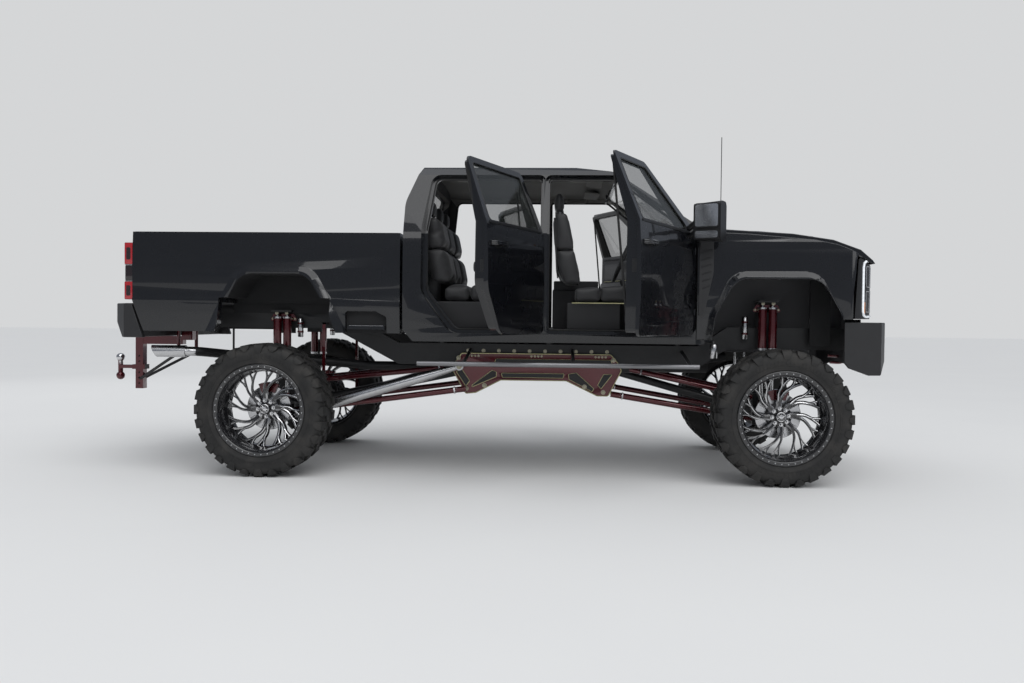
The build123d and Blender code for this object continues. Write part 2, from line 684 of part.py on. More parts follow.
export_step(tailgate.part, "parts/tailgate.step")

# Tail lamps at the corners of the bed
LAMP_LOW_Z, LAMP_TOP_Z = 1385, 1845
LAMP_IN_Y = TAILGATE_HALF_W + 20
with BuildPart() as tail_lamps:
    for side in (-1, 1):
        block(
            (BED_REAR_X - 66, min(side * LAMP_IN_Y, side * (WAIST_Y - 4)), LAMP_LOW_Z),
            (BED_REAR_X - FIT, max(side * LAMP_IN_Y, side * (WAIST_Y - 4)), LAMP_TOP_Z),
        )
tail_lamps.part.label = "tail_lamps"
export_step(tail_lamps.part, "parts/tail_lamps.step")

# Front end skin: side section, plan and side profile
FENDER_LINE = [
    (FRONT_DOOR_X - 50, 1962), (FRONT_X - 250, 1942), (FRONT_X + 250, 1900),
    (FRONT_X + 420, 1866), (FRONT_X + 560, 1812), (FRONT_X + 720, 1712),
]


def front_block(inset, low_z, top_drop):
    """Solid front end from the doors to the nose, set in from the skin."""
    with BuildSketch(Plane.YZ.offset(FRONT_DOOR_X + SHUT_GAP)) as face:
        with BuildLine():
            low = Line((-SILL_Y + inset, low_z), (SILL_Y - inset, low_z))
            left = ThreePointArc(
                low @ 1, (WAIST_Y - inset, WAIST_Z), (BELT_Y - inset, FENDER_TOP_Z)
            )
            top = Line(left @ 1, (inset - BELT_Y, FENDER_TOP_Z))
            ThreePointArc(top @ 1, (inset - WAIST_Y, WAIST_Z), low @ 0)
        make_face()
    extrude(face.sketch, amount=NOSE_X - FRONT_DOOR_X)
    with BuildSketch(Plane.XY.offset(low_z - 10)) as face:
        with BuildLine():
            right = Line((FRONT_DOOR_X - 50, inset - WAIST_Y), (FRONT_X + 330, inset - WAIST_Y))
            corner = ThreePointArc(
                right @ 1, (FRONT_X + 640, inset - 945), (FRONT_X + 745 - inset, inset - 760)
            )
            nose = ThreePointArc(
                corner @ 1, (NOSE_X - inset, 0), (FRONT_X + 745 - inset, 760 - inset)
            )
            far = ThreePointArc(
                nose @ 1, (FRONT_X + 640, 945 - inset), (FRONT_X + 330, WAIST_Y - inset)
            )
            last = Line(far @ 1, (FRONT_DOOR_X - 50, WAIST_Y - inset))
            Line(last @ 1, right @ 0)
        make_face()
    extrude(face.sketch, amount=2000, mode=Mode.INTERSECT)
    prism(
        Plane.XZ,
        [
            (FRONT_DOOR_X - 50, low_z - 20),
            (FRONT_X + 900, low_z - 20),
            (FRONT_X + 900, 1680 - top_drop),
            *((x, z - top_drop) for x, z in reversed(FENDER_LINE)),
        ],
        BIG,
        mode=Mode.INTERSECT,
    )


HEADLAMP = [
    (FRONT_X + 560, 1290),
    (FRONT_X + 860, 1290),
    (FRONT_X + 860, 1690),
    (FRONT_X + 735, 1722),
    (FRONT_X + 590, 1765),
]
FRONT_ARCH = [
    (FRONT_X - 535, FENDER_LOW_Z - 40),
    (FRONT_X - 512, 1300),
    (FRONT_X - 350, 1590),
    (FRONT_X + 300, 1590),
    (FRONT_X + 470, 1300),
    (FRONT_X + 500, FENDER_LOW_Z - 40),
]
FRONT_FLARE = [
    (FRONT_X - 600, FENDER_LOW_Z - 160), (FRONT_X - 600, 1310), (FRONT_X - 420, 1700),
    (FRONT_X + 330, 1700), (FRONT_X + 515, 1310), (FRONT_X + 530, FENDER_LOW_Z - 160),
]
LAMP_INNER_Y = 640
GRILLE_BACK_X = FRONT_X + 690
GRILLE_ROWS, GRILLE_PITCH_Z = 3, 118
GRILLE_COLUMNS, GRILLE_PITCH_Y = 6, 200

with BuildPart() as front_mass:
    front_block(0, FENDER_LOW_Z, 0)

with BuildPart() as front_space:
    front_block(FENDER_T, FENDER_LOW_Z - 60, FENDER_T)

with BuildPart() as front_flare:
    flare(FRONT_FLARE, 60)
    block(
        (FRONT_X - BIG, -BIG, FENDER_LOW_Z), (FRONT_X + BIG, BIG, FENDER_TOP_Z), mode=Mode.INTERSECT
    )

with BuildPart() as fender_half:
    add(front_mass.part)
    add(front_flare.part)
    add(front_space.part, mode=Mode.SUBTRACT)
    block((FRONT_DOOR_X - 100, -700, 1000), (FRONT_X + 1000, BIG, 2100), mode=Mode.SUBTRACT)
    block(
        (FRONT_DOOR_X - 100, -CAB_CORNER_Y - FIT, 1000), (CAB_FRONT_X + SHUT_GAP, 0, 2100),
        mode=Mode.SUBTRACT,
    )
    prism(Plane.XZ, FRONT_ARCH, BIG, radius=ARCH_RADII, mode=Mode.SUBTRACT)
    prism(
        Plane.XZ,
        [
            (FRONT_X + 552, FENDER_LOW_Z - 50),
            (FRONT_X + 900, FENDER_LOW_Z - 50),
            (FRONT_X + 900, 1700),
            (FRONT_X + 735, 1730),
            (FRONT_X + 582, 1774),
            (FRONT_X + 552, 1500),
        ],
        BIG,
        mode=Mode.SUBTRACT,
    )
    block(
        (FRONT_X + 440, -BIG, FENDER_LOW_Z - 60),
        (FRONT_X + 1000, BIG, 1282),
        mode=Mode.SUBTRACT,
    )
with BuildPart() as front_fenders:
    add(fender_half.part)
    add(fender_half.part.mirror(Plane.XZ))
front_fenders.part.label = "front_fenders"
export_step(front_fenders.part, "parts/front_fenders.step")

with BuildPart() as headlamps:
    add(front_mass.part)
    prism(Plane.XZ, HEADLAMP, BIG, radius=16, mode=Mode.INTERSECT)
    block(
        (FRONT_X, -LAMP_INNER_Y, 1000), (FRONT_X + 1000, LAMP_INNER_Y, 2100), mode=Mode.SUBTRACT
    )
headlamps.part.label = "headlamps"
export_step(headlamps.part, "parts/headlamps.step")

with BuildPart() as grille:
    add(front_mass.part)
    block(
        (GRILLE_BACK_X, -LAMP_INNER_Y + FIT, 1300),
        (FRONT_X + 900, LAMP_INNER_Y - FIT, 1712),
        mode=Mode.INTERSECT,
    )
    # Openings between the bars and the ribs
    for row in range(GRILLE_ROWS):
        low_z = 1330 + row * GRILLE_PITCH_Z
        for column in range(GRILLE_COLUMNS):
            low_y = -600 + column * GRILLE_PITCH_Y
            block(
                (GRILLE_BACK_X - 10, low_y + 7, low_z + 16),
                (FRONT_X + 900, low_y + GRILLE_PITCH_Y - 7, low_z + GRILLE_PITCH_Z - 16),
                mode=Mode.SUBTRACT,
            )
grille.part.label = "grille"
export_step(grille.part, "parts/grille.step")

# Hood: crowned panel over the engine bay, hinged at the cowl
HOOD_SIDE = (
    # x from the front axle, height over the underside at the back edge
    (HOOD_BACK_X - FRONT_X, 28), (-323, 15), (104, -10), (417, -56), (629, -133), (722, -214),
    (742, -242), (722, -245), (562, -145), (422, -91), (251, -57), (-249, -15),
    (HOOD_BACK_X - FRONT_X, 0),
)
DOME_SIDE = (
    (HOOD_BACK_X - FRONT_X, 16), (HOOD_BACK_X - FRONT_X, 52), (-100, 40), (330, -4), (560, -92),
    (629, -138), (417, -74), (100, -19),
)
DOME_HALF_W, DOME_TOP_HALF_W = 620, 520
with BuildPart() as hood:
    prism(Plane.XZ, [(FRONT_X + x, HOOD_UNDER_Z + z) for x, z in HOOD_SIDE], HOOD_HALF_W)
    # Raised middle, narrower at its top
    with BuildSketch(Plane.YZ.offset(HOOD_BACK_X)) as dome:
        with BuildLine():
            Polyline(
                (-DOME_HALF_W, HOOD_UNDER_Z - 264), (DOME_HALF_W, HOOD_UNDER_Z - 264),
                (DOME_HALF_W, HOOD_UNDER_Z + 21), (DOME_TOP_HALF_W, HOOD_UNDER_Z + 68),
                (-DOME_TOP_HALF_W, HOOD_UNDER_Z + 68), (-DOME_HALF_W, HOOD_UNDER_Z + 21),
                close=True,
            )
        make_face()
    with BuildSketch(Plane.XZ) as dome_side:
        with BuildLine():
            Polyline(*[(FRONT_X + x, HOOD_UNDER_Z + z) for x, z in DOME_SIDE], close=True)
        make_face()
    add(
        extrude(dome.sketch, amount=1300, mode=Mode.PRIVATE)
        & extrude(dome_side.sketch, amount=BIG, both=True, mode=Mode.PRIVATE)
    )
    for side in (-1, 1):
        low_y, high_y = sorted((side * HOOD_HINGE_Y, side * (HOOD_HINGE_Y + 30)))
        block(
            (HOOD_PIVOT_X, low_y, HOOD_PIVOT_Z - HOOD_LUG_R),
            (HOOD_PIVOT_X + 40, high_y, HOOD_PIVOT_Z + HOOD_LUG_R),
        )
        rod((HOOD_PIVOT_X, low_y, HOOD_PIVOT_Z), (HOOD_PIVOT_X, high_y, HOOD_PIVOT_Z), HOOD_LUG_R)
        low_y, high_y = sorted((side * (HOOD_HINGE_Y + 10), side * (HOOD_HINGE_Y + 60)))
        rod((HOOD_PIVOT_X, low_y, HOOD_PIVOT_Z), (HOOD_PIVOT_X, high_y, HOOD_PIVOT_Z), HOOD_PIN_R)
hood.part.label = "hood"
export_step(hood.part, "parts/hood.step")

# Front bumper: folded plate with swept wings
with BuildPart() as front_bumper:
    slab(
        Plane.XY.offset(BUMPER_LOW_Z),
        [
            (FRONT_X + 490, -985), (FRONT_X + 800, -900), (FRONT_X + FRONT_OVERHANG, -640),
            (FRONT_X + FRONT_OVERHANG, 640), (FRONT_X + 800, 900), (FRONT_X + 490, 985),
            (FRONT_X + 490, 950), (FRONT_X + 770, 860), (FRONT_X + 850, 620),
            (FRONT_X + 850, -620), (FRONT_X + 770, -860), (FRONT_X + 490, -950),
        ],
        BUMPER_TOP_Z - BUMPER_LOW_Z,
    )
    prism(
        Plane.XZ,
        [
            (FRONT_X + 480, 1262), (FRONT_X + 920, 1268), (FRONT_X + 920, 950),
            (FRONT_X + 800, BUMPER_LOW_Z), (FRONT_X + 700, BUMPER_LOW_Z),
            (FRONT_X + 532, 903), (FRONT_X + 480, 960),
        ],
        BIG,
        mode=Mode.INTERSECT,
    )
    # Air opening and the recesses of the fog lamps
    block(
        (FRONT_X + 820, -330, 1010), (FRONT_X + 1000, 330, 1130), mode=Mode.SUBTRACT
    )
    for side in (-1, 1):
        block(
            (FRONT_X + FRONT_OVERHANG - 34, side * 530 - 62, 1045),
            (FRONT_X + 1000, side * 530 + 62, 1135),
            mode=Mode.SUBTRACT,
        )
    for side in (-1, 1):
        middle = side * (RAIL_OUT_Y - RAIL_W / 2)
        block((FRONT_X + 700, middle - 38, 1040), (FRONT_X + 862, middle + 38, 1190))
front_bumper.part.label = "front_bumper"
export_step(front_bumper.part, "parts/front_bumper.step")

# Rear bumper: plate with chamfered ends below the tailgate
REAR_BUMPER_X = REAR_X - 1290
with BuildPart() as rear_bumper:
    slab(
        Plane.XY.offset(1080),
        [
            (REAR_X - 980, -1010), (REAR_X - 1170, -1010), (REAR_BUMPER_X, -880),
            (REAR_BUMPER_X, 880), (REAR_X - 1170, 1010), (REAR_X - 980, 1010),
            (REAR_X - 980, 950), (REAR_X - 1120, 950), (REAR_X - 1120, -950), (REAR_X - 980, -950),
        ],
        275,
    )
    prism(
        Plane.XZ,
        [
            (REAR_BUMPER_X, 1355), (BED_REAR_X - 8, 1355), (BED_REAR_X + 66, 1135),
            (BED_REAR_X + 84, 1080), (REAR_X - 1200, 1080), (REAR_BUMPER_X, 1200),
        ],
        BIG,
        mode=Mode.INTERSECT,
    )
rear_bumper.part.label = "rear_bumper"
export_step(rear_bumper.part, "parts/rear_bumper.step")

# Frame: two kicked-up rails joined by crossmembers
RAIL_END_X = REAR_X - 1120 + FIT
RAIL_PATH = (
    # x, middle height of the rail
    (RAIL_END_X, 1255),
    (REAR_X + 420, 1255),
    (REAR_X + 980, FRAME_LOW_Z + RAIL_H / 2),
    (FRONT_X - 560, FRAME_LOW_Z + RAIL_H / 2),
    (FRONT_X - 330, 1120),
    (FRONT_X + 700, 1120),
)
CROSSMEMBERS = (
    # x, middle height
    (REAR_X - 1050, 1255), (REAR_X - 330, 1255), (REAR_X + 400, 1255),
    (REAR_X + 1250, FRAME_LOW_Z + RAIL_H / 2), (FRONT_X + 640, 1120),
)
BODY_MOUNTS = (
    # x, top of the mount
    (REAR_X - 780, BED_FLOOR_Z - BED_FLOOR_T), (REAR_X + 780, BED_FLOOR_Z - BED_FLOOR_T),
    (CAB_REAR_X + 250, SILL_Z), (REAR_X + 2250, SILL_Z), (CAB_FRONT_X - 150, SILL_Z),
)
SHOCK_Y = 590
FRONT_TOWER_Z = 1418
REAR_TOWER_Z = 1300
GEARBOX_Z, GEARBOX_R = 930, 128
RAIL_MID_Y = RAIL_OUT_Y - RAIL_W / 2
with BuildPart() as frame_rails:
    above = [(x, z + RAIL_H / 2) for x, z in RAIL_PATH]
    below = [(x, z - RAIL_H / 2) for x, z in reversed(RAIL_PATH)]
    for side in (-1, 1):
        slab(Plane.XZ.offset(side * RAIL_MID_Y - RAIL_W / 2), above + below, RAIL_W)
        for x, top in BODY_MOUNTS:
            with Locations((x, side * RAIL_MID_Y, top - 30)):
                Cylinder(36, 60)
        # Towers over the shock absorbers
        for x, top in ((FRONT_X - 16, FRONT_TOWER_Z), (REAR_X, REAR_TOWER_Z)):
            low_y, high_y = sorted((side * (RAIL_OUT_Y - RAIL_W), side * (SHOCK_Y + 40)))
            block((x - 85, low_y, top), (x + 85, high_y, top + 16))
            low_y, high_y = sorted((side * (RAIL_OUT_Y - RAIL_W), side * (RAIL_OUT_Y - RAIL_W + 20)))
            block((x - 70, low_y, 1120), (x + 70, high_y, top + 8))
        # Legs of the gearbox crossmember
        low_y, high_y = sorted((side * (RAIL_OUT_Y - RAIL_W), side * RAIL_OUT_Y))
        block(
            (REAR_X + 2220, low_y, GEARBOX_Z - GEARBOX_R - 32),
            (REAR_X + 2300, high_y, FRAME_LOW_Z + 10),
        )
    for x, z in CROSSMEMBERS:
        block((x - 55, -RAIL_MID_Y, z - 60), (x + 55, RAIL_MID_Y, z + 60))
    block(
        (REAR_X + 2220, -RAIL_MID_Y, GEARBOX_Z - GEARBOX_R - 32),
        (REAR_X + 2300, RAIL_MID_Y, GEARBOX_Z - GEARBOX_R - FIT),
    )
frame_rails.part.label = "frame_rails"
export_step(frame_rails.part, "parts/frame_rails.step")

# Radiator on the front crossmember, behind the grille
with BuildPart() as radiator:
    half_w = RAIL_OUT_Y - RAIL_W - 4
    block((GRILLE_BACK_X - 60, -half_w, 1180 + FIT), (GRILLE_BACK_X - FIT, half_w, 1690))
radiator.part.label = "radiator"
export_step(radiator.part, "parts/radiator.step")

# Solid axles
LOWER_LINK_Y = BRACKET_Y + BRACKET_T + FIT + 25


def housing(centre, radius):
    """Differential housing turned about the axle line."""
    x, y, z = centre
    with BuildSketch(Plane((x, y, z), x_dir=(0, 1, 0), z_dir=(1, 0, 0))) as face:
        with BuildLine():
            Polyline(
                (-1.15 * radius, 0), (-1.15 * radius, 0.36 * radius), (-0.5 * radius, 0.92 * radius),
                (-0.2 * radius, radius), (0.2 * radius, radius), (0.5 * radius, 0.92 * radius),
                (1.15 * radius, 0.36 * radius), (1.15 * radius, 0), close=True,
            )
        make_face()
    revolve(face.sketch, axis=Axis((x, y, z), (0, 1, 0)))


with BuildPart() as rear_axle:
    rod((REAR_X, -HUB_FACE_Y + 40, TYRE_R), (REAR_X, HUB_FACE_Y - 40, TYRE_R), AXLE_TUBE_R)
    housing((REAR_X, 0, TYRE_R), DIFF_R)
    rod((REAR_X, 0, TYRE_R), (REAR_X + 300, 0, TYRE_R + 20), 62)
    for side in (-1, 1):
        with Locations(Plane((REAR_X, side * (HUB_FACE_Y - 30), TYRE_R), z_dir=(0, 1, 0))):
            Cylinder(HUB_R + 25, 60 - 2 * FIT)
        block(
            (REAR_X, side * LOWER_LINK_Y - 28, 400),
            (REAR_X + LINK_REACH - FIT, side * LOWER_LINK_Y + 28, TYRE_R),
        )
        block(
            (REAR_X, side * 360 - 20, TYRE_R),
            (REAR_X + LINK_REACH - FIT, side * 360 + 20, 725),
        )
rear_axle.part.label = "rear_axle"
export_step(rear_axle.part, "parts/rear_axle.step")

FRONT_DIFF_Y = -170
FRONT_LINK_Y = 450
WEB_Y = TRACK_PIN_Y - YOKE_BACK
JOINT_Z = 112                           # ball joint faces above and below the shaft
with BuildPart() as front_axle:
    rod((FRONT_X, -WEB_Y - 20, TYRE_R), (FRONT_X, WEB_Y + 20, TYRE_R), AXLE_TUBE_R - 5)
    housing((FRONT_X, FRONT_DIFF_Y, TYRE_R), DIFF_R - 20)
    rod((FRONT_X, FRONT_DIFF_Y, TYRE_R), (FRONT_X - 290, FRONT_DIFF_Y, TYRE_R + 30), 58)
    for side in (-1, 1):
        # Open yoke with a ball joint above and below the shaft
        low_y, high_y = sorted((side * (WEB_Y - 50), side * WEB_Y))
        block(
            (FRONT_X - 42, low_y, TYRE_R - JOINT_Z - 18), (FRONT_X + 42, high_y, TYRE_R + JOINT_Z + 18)
        )
        for top in (-1, 1):
            low_z = TYRE_R + (JOINT_Z if top > 0 else -JOINT_Z - 18)
            with Locations((FRONT_X, side * TRACK_PIN_Y, low_z + 9)):
                Cylinder(38, 18)
            low_y, high_y = sorted((side * (WEB_Y - 10), side * TRACK_PIN_Y))
            block((FRONT_X - 38, low_y, low_z), (FRONT_X + 38, high_y, low_z + 18))
        block(
            (FRONT_X - LINK_REACH + FIT, side * FRONT_LINK_Y - 26, 400),
            (FRONT_X, side * FRONT_LINK_Y + 26, 660),
        )
front_axle.part.label = "front_axle"
export_step(front_axle.part, "parts/front_axle.step")

# Knuckles steer about the ball joints and carry the front hubs
ARM_X, ARM_Z = FRONT_X + ARM_REACH, TYRE_R + 30
TIE_Z = ARM_Z + 38
for side, label in ((-1, "right"), (1, "left")):
    with BuildPart() as knuckle:
        for top in (-1, 1):
            low_z = TYRE_R + (JOINT_Z - FIT - 40 if top > 0 else -JOINT_Z + FIT)
            with Locations((FRONT_X, side * TRACK_PIN_Y, low_z + 20)):
                Cylinder(34, 40)
        low_y, high_y = sorted((side * (TRACK_PIN_Y + 10), side * (TRACK_PIN_Y + 60)))
        block((FRONT_X - 40, low_y, TYRE_R - 104), (FRONT_X + 40, high_y, TYRE_R + 104))
        hub_length = HUB_FACE_Y - FIT - TRACK_PIN_Y - 50
        middle = side * (TRACK_PIN_Y + 50 + hub_length / 2)
        with Locations(Plane((FRONT_X, middle, TYRE_R), z_dir=(0, 1, 0))):
            Cylinder(HUB_R + 15, hub_length)
        block(
            (FRONT_X + 10, side * (TRACK_PIN_Y + 6) - 12, ARM_Z - 15),
            (ARM_X, side * (TRACK_PIN_Y + 6) + 12, ARM_Z + 15),
        )
        with Locations((ARM_X, side * TRACK_PIN_Y, ARM_Z)):
            Cylinder(24, 30)
        with Locations((ARM_X, side * TRACK_PIN_Y, ARM_Z + 24)):
            Cylinder(9, 78)
    knuckle.part.label = "knuckle_" + label
    export_step(knuckle.part, "parts/knuckle_" + label + ".step")

# Tie rod between the steering arms
with BuildPart() as tie_rod:
    rod((ARM_X, -TRACK_PIN_Y + 20, TIE_Z), (ARM_X, TRACK_PIN_Y - 20, TIE_Z), 18)
    for side in (-1, 1):
        with Locations((ARM_X, side * TRACK_PIN_Y, TIE_Z)):
            Cylinder(25, 42)
            Cylinder(9 + FIT, 42, mode=Mode.SUBTRACT)
tie_rod.part.label = "tie_rod"
export_step(tie_rod.part, "parts/tie_rod.step")

# Wheels: flat-sided casing with shoulder lugs, deep rim with twisted split spokes
LUG_PITCH = 180 / LUG_PAIRS
TYRE_HALF = TYRE_W / 2
CASING_R = TYRE_R - TREAD_DEPTH
CASING = (
    # distance in from the side, radius
    (8, TYRE_R - 62), (40, CASING_R),
)
LIP_SEAT = 30                           # depth of the recess round the rim's lip
LUGS = (
    # first turn in pitches, inner edge, side foot radius, half width
    (0, TYRE_HALF - 92, TYRE_R - 68, 40), (1, TYRE_HALF - 106, TYRE_R - 52, 38),
)
with BuildPart() as tyre_form:
    stations = [(inset - TYRE_HALF, r) for inset, r in CASING]
    stations += [(TYRE_HALF - inset, r) for inset, r in reversed(CASING)]
    for (low_y, low_r), (high_y, high_r) in zip(stations, stations[1:]):
        with BuildSketch(Plane.XZ.offset(-low_y)) as near:
            RegularPolygon(low_r, 2 * LUG_PAIRS, rotation=LUG_PITCH / 2)
        with BuildSketch(Plane.XZ.offset(-high_y)) as far:
            RegularPolygon(high_r, 2 * LUG_PAIRS, rotation=LUG_PITCH / 2)
        loft([near.sketch, far.sketch], ruled=True)
    with Locations(Plane.XZ):
        Cylinder(BEAD_R, 2 * BIG, mode=Mode.SUBTRACT)
    for side in (-1, 1):
        with Locations(Plane.XZ.offset(side * (BIG + TYRE_HALF - LIP_SEAT))):
            Cylinder(RIM_LIP_R + 4, 2 * BIG, mode=Mode.SUBTRACT)
    for side in (-1, 1):
        for first, inner_y, foot_r, half_w in LUGS:
            with BuildPart(mode=Mode.PRIVATE) as lug:
                prism(
                    Plane.YZ,
                    [
                        (side * inner_y, CASING_R - 14), (side * inner_y, TYRE_R),
                        (side * (TYRE_HALF - 34), TYRE_R), (side * TYRE_HALF, TYRE_R - 32),
                        (side * (TYRE_HALF - 14), foot_r),
                    ],
                    half_w,
                )
            for pair in range(LUG_PAIRS):
                turn = (2 * pair + first + (0.5 if side > 0 else 0)) * LUG_PITCH
                add(lug.part.rotate(Axis.Y, turn))

BLADES = (
    # radius, turn in degrees, height over the hub face, width, depth, twist; one row a station
    ((60, -7, 4, 44, 40, 0), (185, -3, 12, 21, 34, 16), (DISH_R + 14, 13, 38, 16, 40, 22)),
    ((60, -3, 4, 40, 40, 0), (170, 8, 13, 22, 34, 14), (DISH_R + 14, 33, 32, 16, 36, 22)),
)


def spoke_blade(stations, turn, face_y):
    """Blade of a split spoke through three stations, twisted about its run."""
    points = []
    for radius, angle, height, *_ in stations:
        point = Vector(radius, 0, 0).rotate(Axis.Y, -angle - turn)
        points.append(Vector(point.X, face_y - height, point.Z))
    sections = []
    for i, (_, _, _, width, depth, twist) in enumerate(stations):
        run = (points[min(i + 1, 2)] - points[max(i - 1, 0)]).normalized()
        across = run.cross(Vector(0, -1, 0)).normalized()
        plane = Plane(origin=points[i], x_dir=across, z_dir=run)
        with BuildSketch(plane.rotated((0, 0, twist))) as section:
            with Locations((0, (1 if plane.y_dir.Y > 0 else -1) * depth / 2)):
                Rectangle(width, depth)
        sections.append(section.sketch)
    loft(sections, ruled=True)


with BuildPart() as rim_form:
    # Outboard is -Y
    hub_y = RIM_DISH - TYRE_HALF
    hub_back_y = TYRE_Y - HUB_FACE_Y
    with BuildSketch(Plane.YZ):
        with BuildLine():
            Polyline(
                (11 - TYRE_HALF, RIM_LIP_R - 26), (11 - TYRE_HALF, RIM_LIP_R),
                (24 - TYRE_HALF, RIM_LIP_R), (LIP_SEAT - TYRE_HALF, BEAD_R - FIT),
                (48 - TYRE_HALF, BEAD_R - FIT), (62 - TYRE_HALF, RIM_BARREL_R),
                (TYRE_HALF - 62, RIM_BARREL_R), (TYRE_HALF - 46, BEAD_R - FIT),
                (TYRE_HALF - 18, BEAD_R - FIT), (TYRE_HALF - 18, BEAD_R - 12),
                (TYRE_HALF - 62, RIM_BARREL_R - 12), (hub_y + 20, DISH_R),
                (hub_y - 60, DISH_R + 6), (40 - TYRE_HALF, RIM_BARREL_R - 14), close=True,
            )
        make_face()
    revolve(axis=Axis.Y)
    with Locations(Plane((0, (hub_y + hub_back_y) / 2, 0), z_dir=(0, 1, 0))):
        Cylinder(HUB_R, hub_back_y - hub_y)
    with Locations(Plane((0, hub_y - 22, 0), z_dir=(0, 1, 0))):
        Cylinder(48, 50)
    for spoke in range(SPOKES):
        for blade_stations in BLADES:
            spoke_blade(blade_stations, spoke * 360 / SPOKES, hub_y)

WHEELS = (
    # label, axle, side
    ("front_right", FRONT_X, -1), ("front_left", FRONT_X, 1),
    ("rear_right", REAR_X, -1), ("rear_left", REAR_X, 1),
)
for label, axle_x, side in WHEELS:
    for kind, form in (("tyre", tyre_form), ("rim", rim_form)):
        shape = form.part if side < 0 else form.part.mirror(Plane.XZ)
        with BuildPart() as wheel:
            add(shape.moved(Location((axle_x, side * TYRE_Y, TYRE_R))))
        wheel.part.label = kind + "_" + label
        export_step(wheel.part, "parts/" + kind + "_" + label + ".step")

# Long links below the cab, their brackets and the traction bars
UPPER_LINK_Z = FRAME_LOW_Z - 22 - FIT
LINKS = (
    # start, end, radius
    ((REAR_X + LINK_REACH, LOWER_LINK_Y, 470), (REAR_X + 1560, LOWER_LINK_Y, 672), 25),
    ((REAR_X + LINK_REACH, 360, 700), (REAR_X + 1420, RAIL_MID_Y, UPPER_LINK_Z), 22),
    ((FRONT_X - LINK_REACH, FRONT_LINK_Y, 452), (FRONT_X - 1290, LOWER_LINK_Y, 645), 25),
    ((FRONT_X - LINK_REACH, FRONT_LINK_Y, 630), (FRONT_X - 1130, RAIL_MID_Y, UPPER_LINK_Z), 22),
)
with BuildPart() as links:
    for start, end, radius in LINKS:
        for side in (-1, 1):
            rod((start[0], side * start[1], start[2]), (end[0], side * end[1], end[2]), radius)
    add(rear_axle.part, mode=Mode.SUBTRACT)
    add(front_axle.part, mode=Mode.SUBTRACT)
links.part.label = "suspension_links"
export_step(links.part, "parts/suspension_links.step")

BRACKET = [
    (REAR_X + 1520, 970), (REAR_X + 1430, 850), (REAR_X + 1555, 630), (REAR_X + 1640, 640),
    (REAR_X + 1850, 748), (REAR_X + 2400, 748), (FRONT_X - 1400, 625), (FRONT_X - 1310, 625),
    (FRONT_X - 1200, 840), (FRONT_X - 1230, 900), (FRONT_X - 1290, 970),
]
POCKET_DEPTH = 7
POCKETS = (
    # sunk panels of the outer face
    ((REAR_X + 1472, 816), (REAR_X + 1521, 833), (REAR_X + 1588, 737), (REAR_X + 1555, 693)),
    ((REAR_X + 1612, 705), (REAR_X + 1775, 828), (REAR_X + 1812, 816), (REAR_X + 1812, 775),
     (REAR_X + 1602, 683)),
    ((REAR_X + 1854, 806), (REAR_X + 2382, 806), (REAR_X + 2372, 770), (REAR_X + 1864, 770)),
    ((REAR_X + 2416, 803), (REAR_X + 2483, 816), (REAR_X + 2632, 684), (REAR_X + 2616, 660),
     (REAR_X + 2424, 760)),
    ((REAR_X + 2712, 806), (REAR_X + 2784, 806), (REAR_X + 2690, 684), (REAR_X + 2662, 716)),
    ((REAR_X + 1809, 926), (REAR_X + 2770, 926), (REAR_X + 2785, 880), (REAR_X + 1790, 880)),
)
with BuildPart() as brackets:
    for side in (-1, 1):
        middle = side * (BRACKET_Y + BRACKET_T / 2)
        slab(Plane.XZ.offset(middle - BRACKET_T / 2), BRACKET, BRACKET_T, radius=20)
    for side in (-1, 1):
        for pocket in POCKETS:
            prism(
                Plane.XZ.offset(-side * (BRACKET_Y + BRACKET_T)), pocket, POCKET_DEPTH,
                mode=Mode.SUBTRACT,
            )
brackets.part.label = "link_brackets"
export_step(brackets.part, "parts/link_brackets.step")

BAR_R, BAR_END_R = 44, 22
BAR_Y = LOWER_LINK_Y + 25 + BAR_R + 4
with BuildPart() as traction_bars:
    for side in (-1, 1):
        start = Vector(REAR_X + 60, side * BAR_Y, 425)
        end = Vector(REAR_X + 1512, side * BAR_Y, 863)
        run = end - start
        reach = run.length
        with BuildSketch(Plane(origin=start, x_dir=run, z_dir=(0, 1, 0))) as half_bar:
            with BuildLine():
                Polyline(
                    (0, 0), (0, BAR_END_R), (0.22 * reach, BAR_R), (0.78 * reach, BAR_R),
                    (reach, BAR_END_R), (reach, 0), close=True,
                )
            make_face()
        revolve(half_bar.sketch, axis=Axis(start, run))
        for eye, inner_y in ((start, LOWER_LINK_Y + 28 + FIT), (end, BRACKET_Y + BRACKET_T + FIT)):
            low_y, high_y = sorted((side * inner_y, side * (BAR_Y + BAR_END_R + 6)))
            rod((eye.X, low_y, eye.Z), (eye.X, high_y, eye.Z), BAR_END_R + 12)
traction_bars.part.label = "traction_bars"
export_step(traction_bars.part, "parts/traction_bars.step")

# Shock absorbers in pairs, front and rear
SHOCK_PITCH = 84
SHOCKS = (
    # axle, middle of the pair, axle tube radius, underside of the tower
    (FRONT_X - 16, AXLE_TUBE_R - 5, FRONT_TOWER_Z),
    (REAR_X, AXLE_TUBE_R, REAR_TOWER_Z),
)
with BuildPart() as shocks:
    for middle_x, tube_r, tower_z in SHOCKS:
        low_z = TYRE_R + tube_r + FIT
        for side in (-1, 1):
            block(
                (middle_x - 70, side * SHOCK_Y - 24, low_z), (middle_x + 70, side * SHOCK_Y + 24, low_z + 40)
            )
            for step in (-0.5, 0.5):
                x = middle_x + step * SHOCK_PITCH
                rod((x, side * SHOCK_Y, low_z + 30), (x, side * SHOCK_Y, tower_z - FIT), 11)
                rod((x, side * SHOCK_Y, tower_z - 390), (x, side * SHOCK_Y, tower_z - 40), 34)
shocks.part.label = "shock_absorbers"
export_step(shocks.part, "parts/shock_absorbers.step")

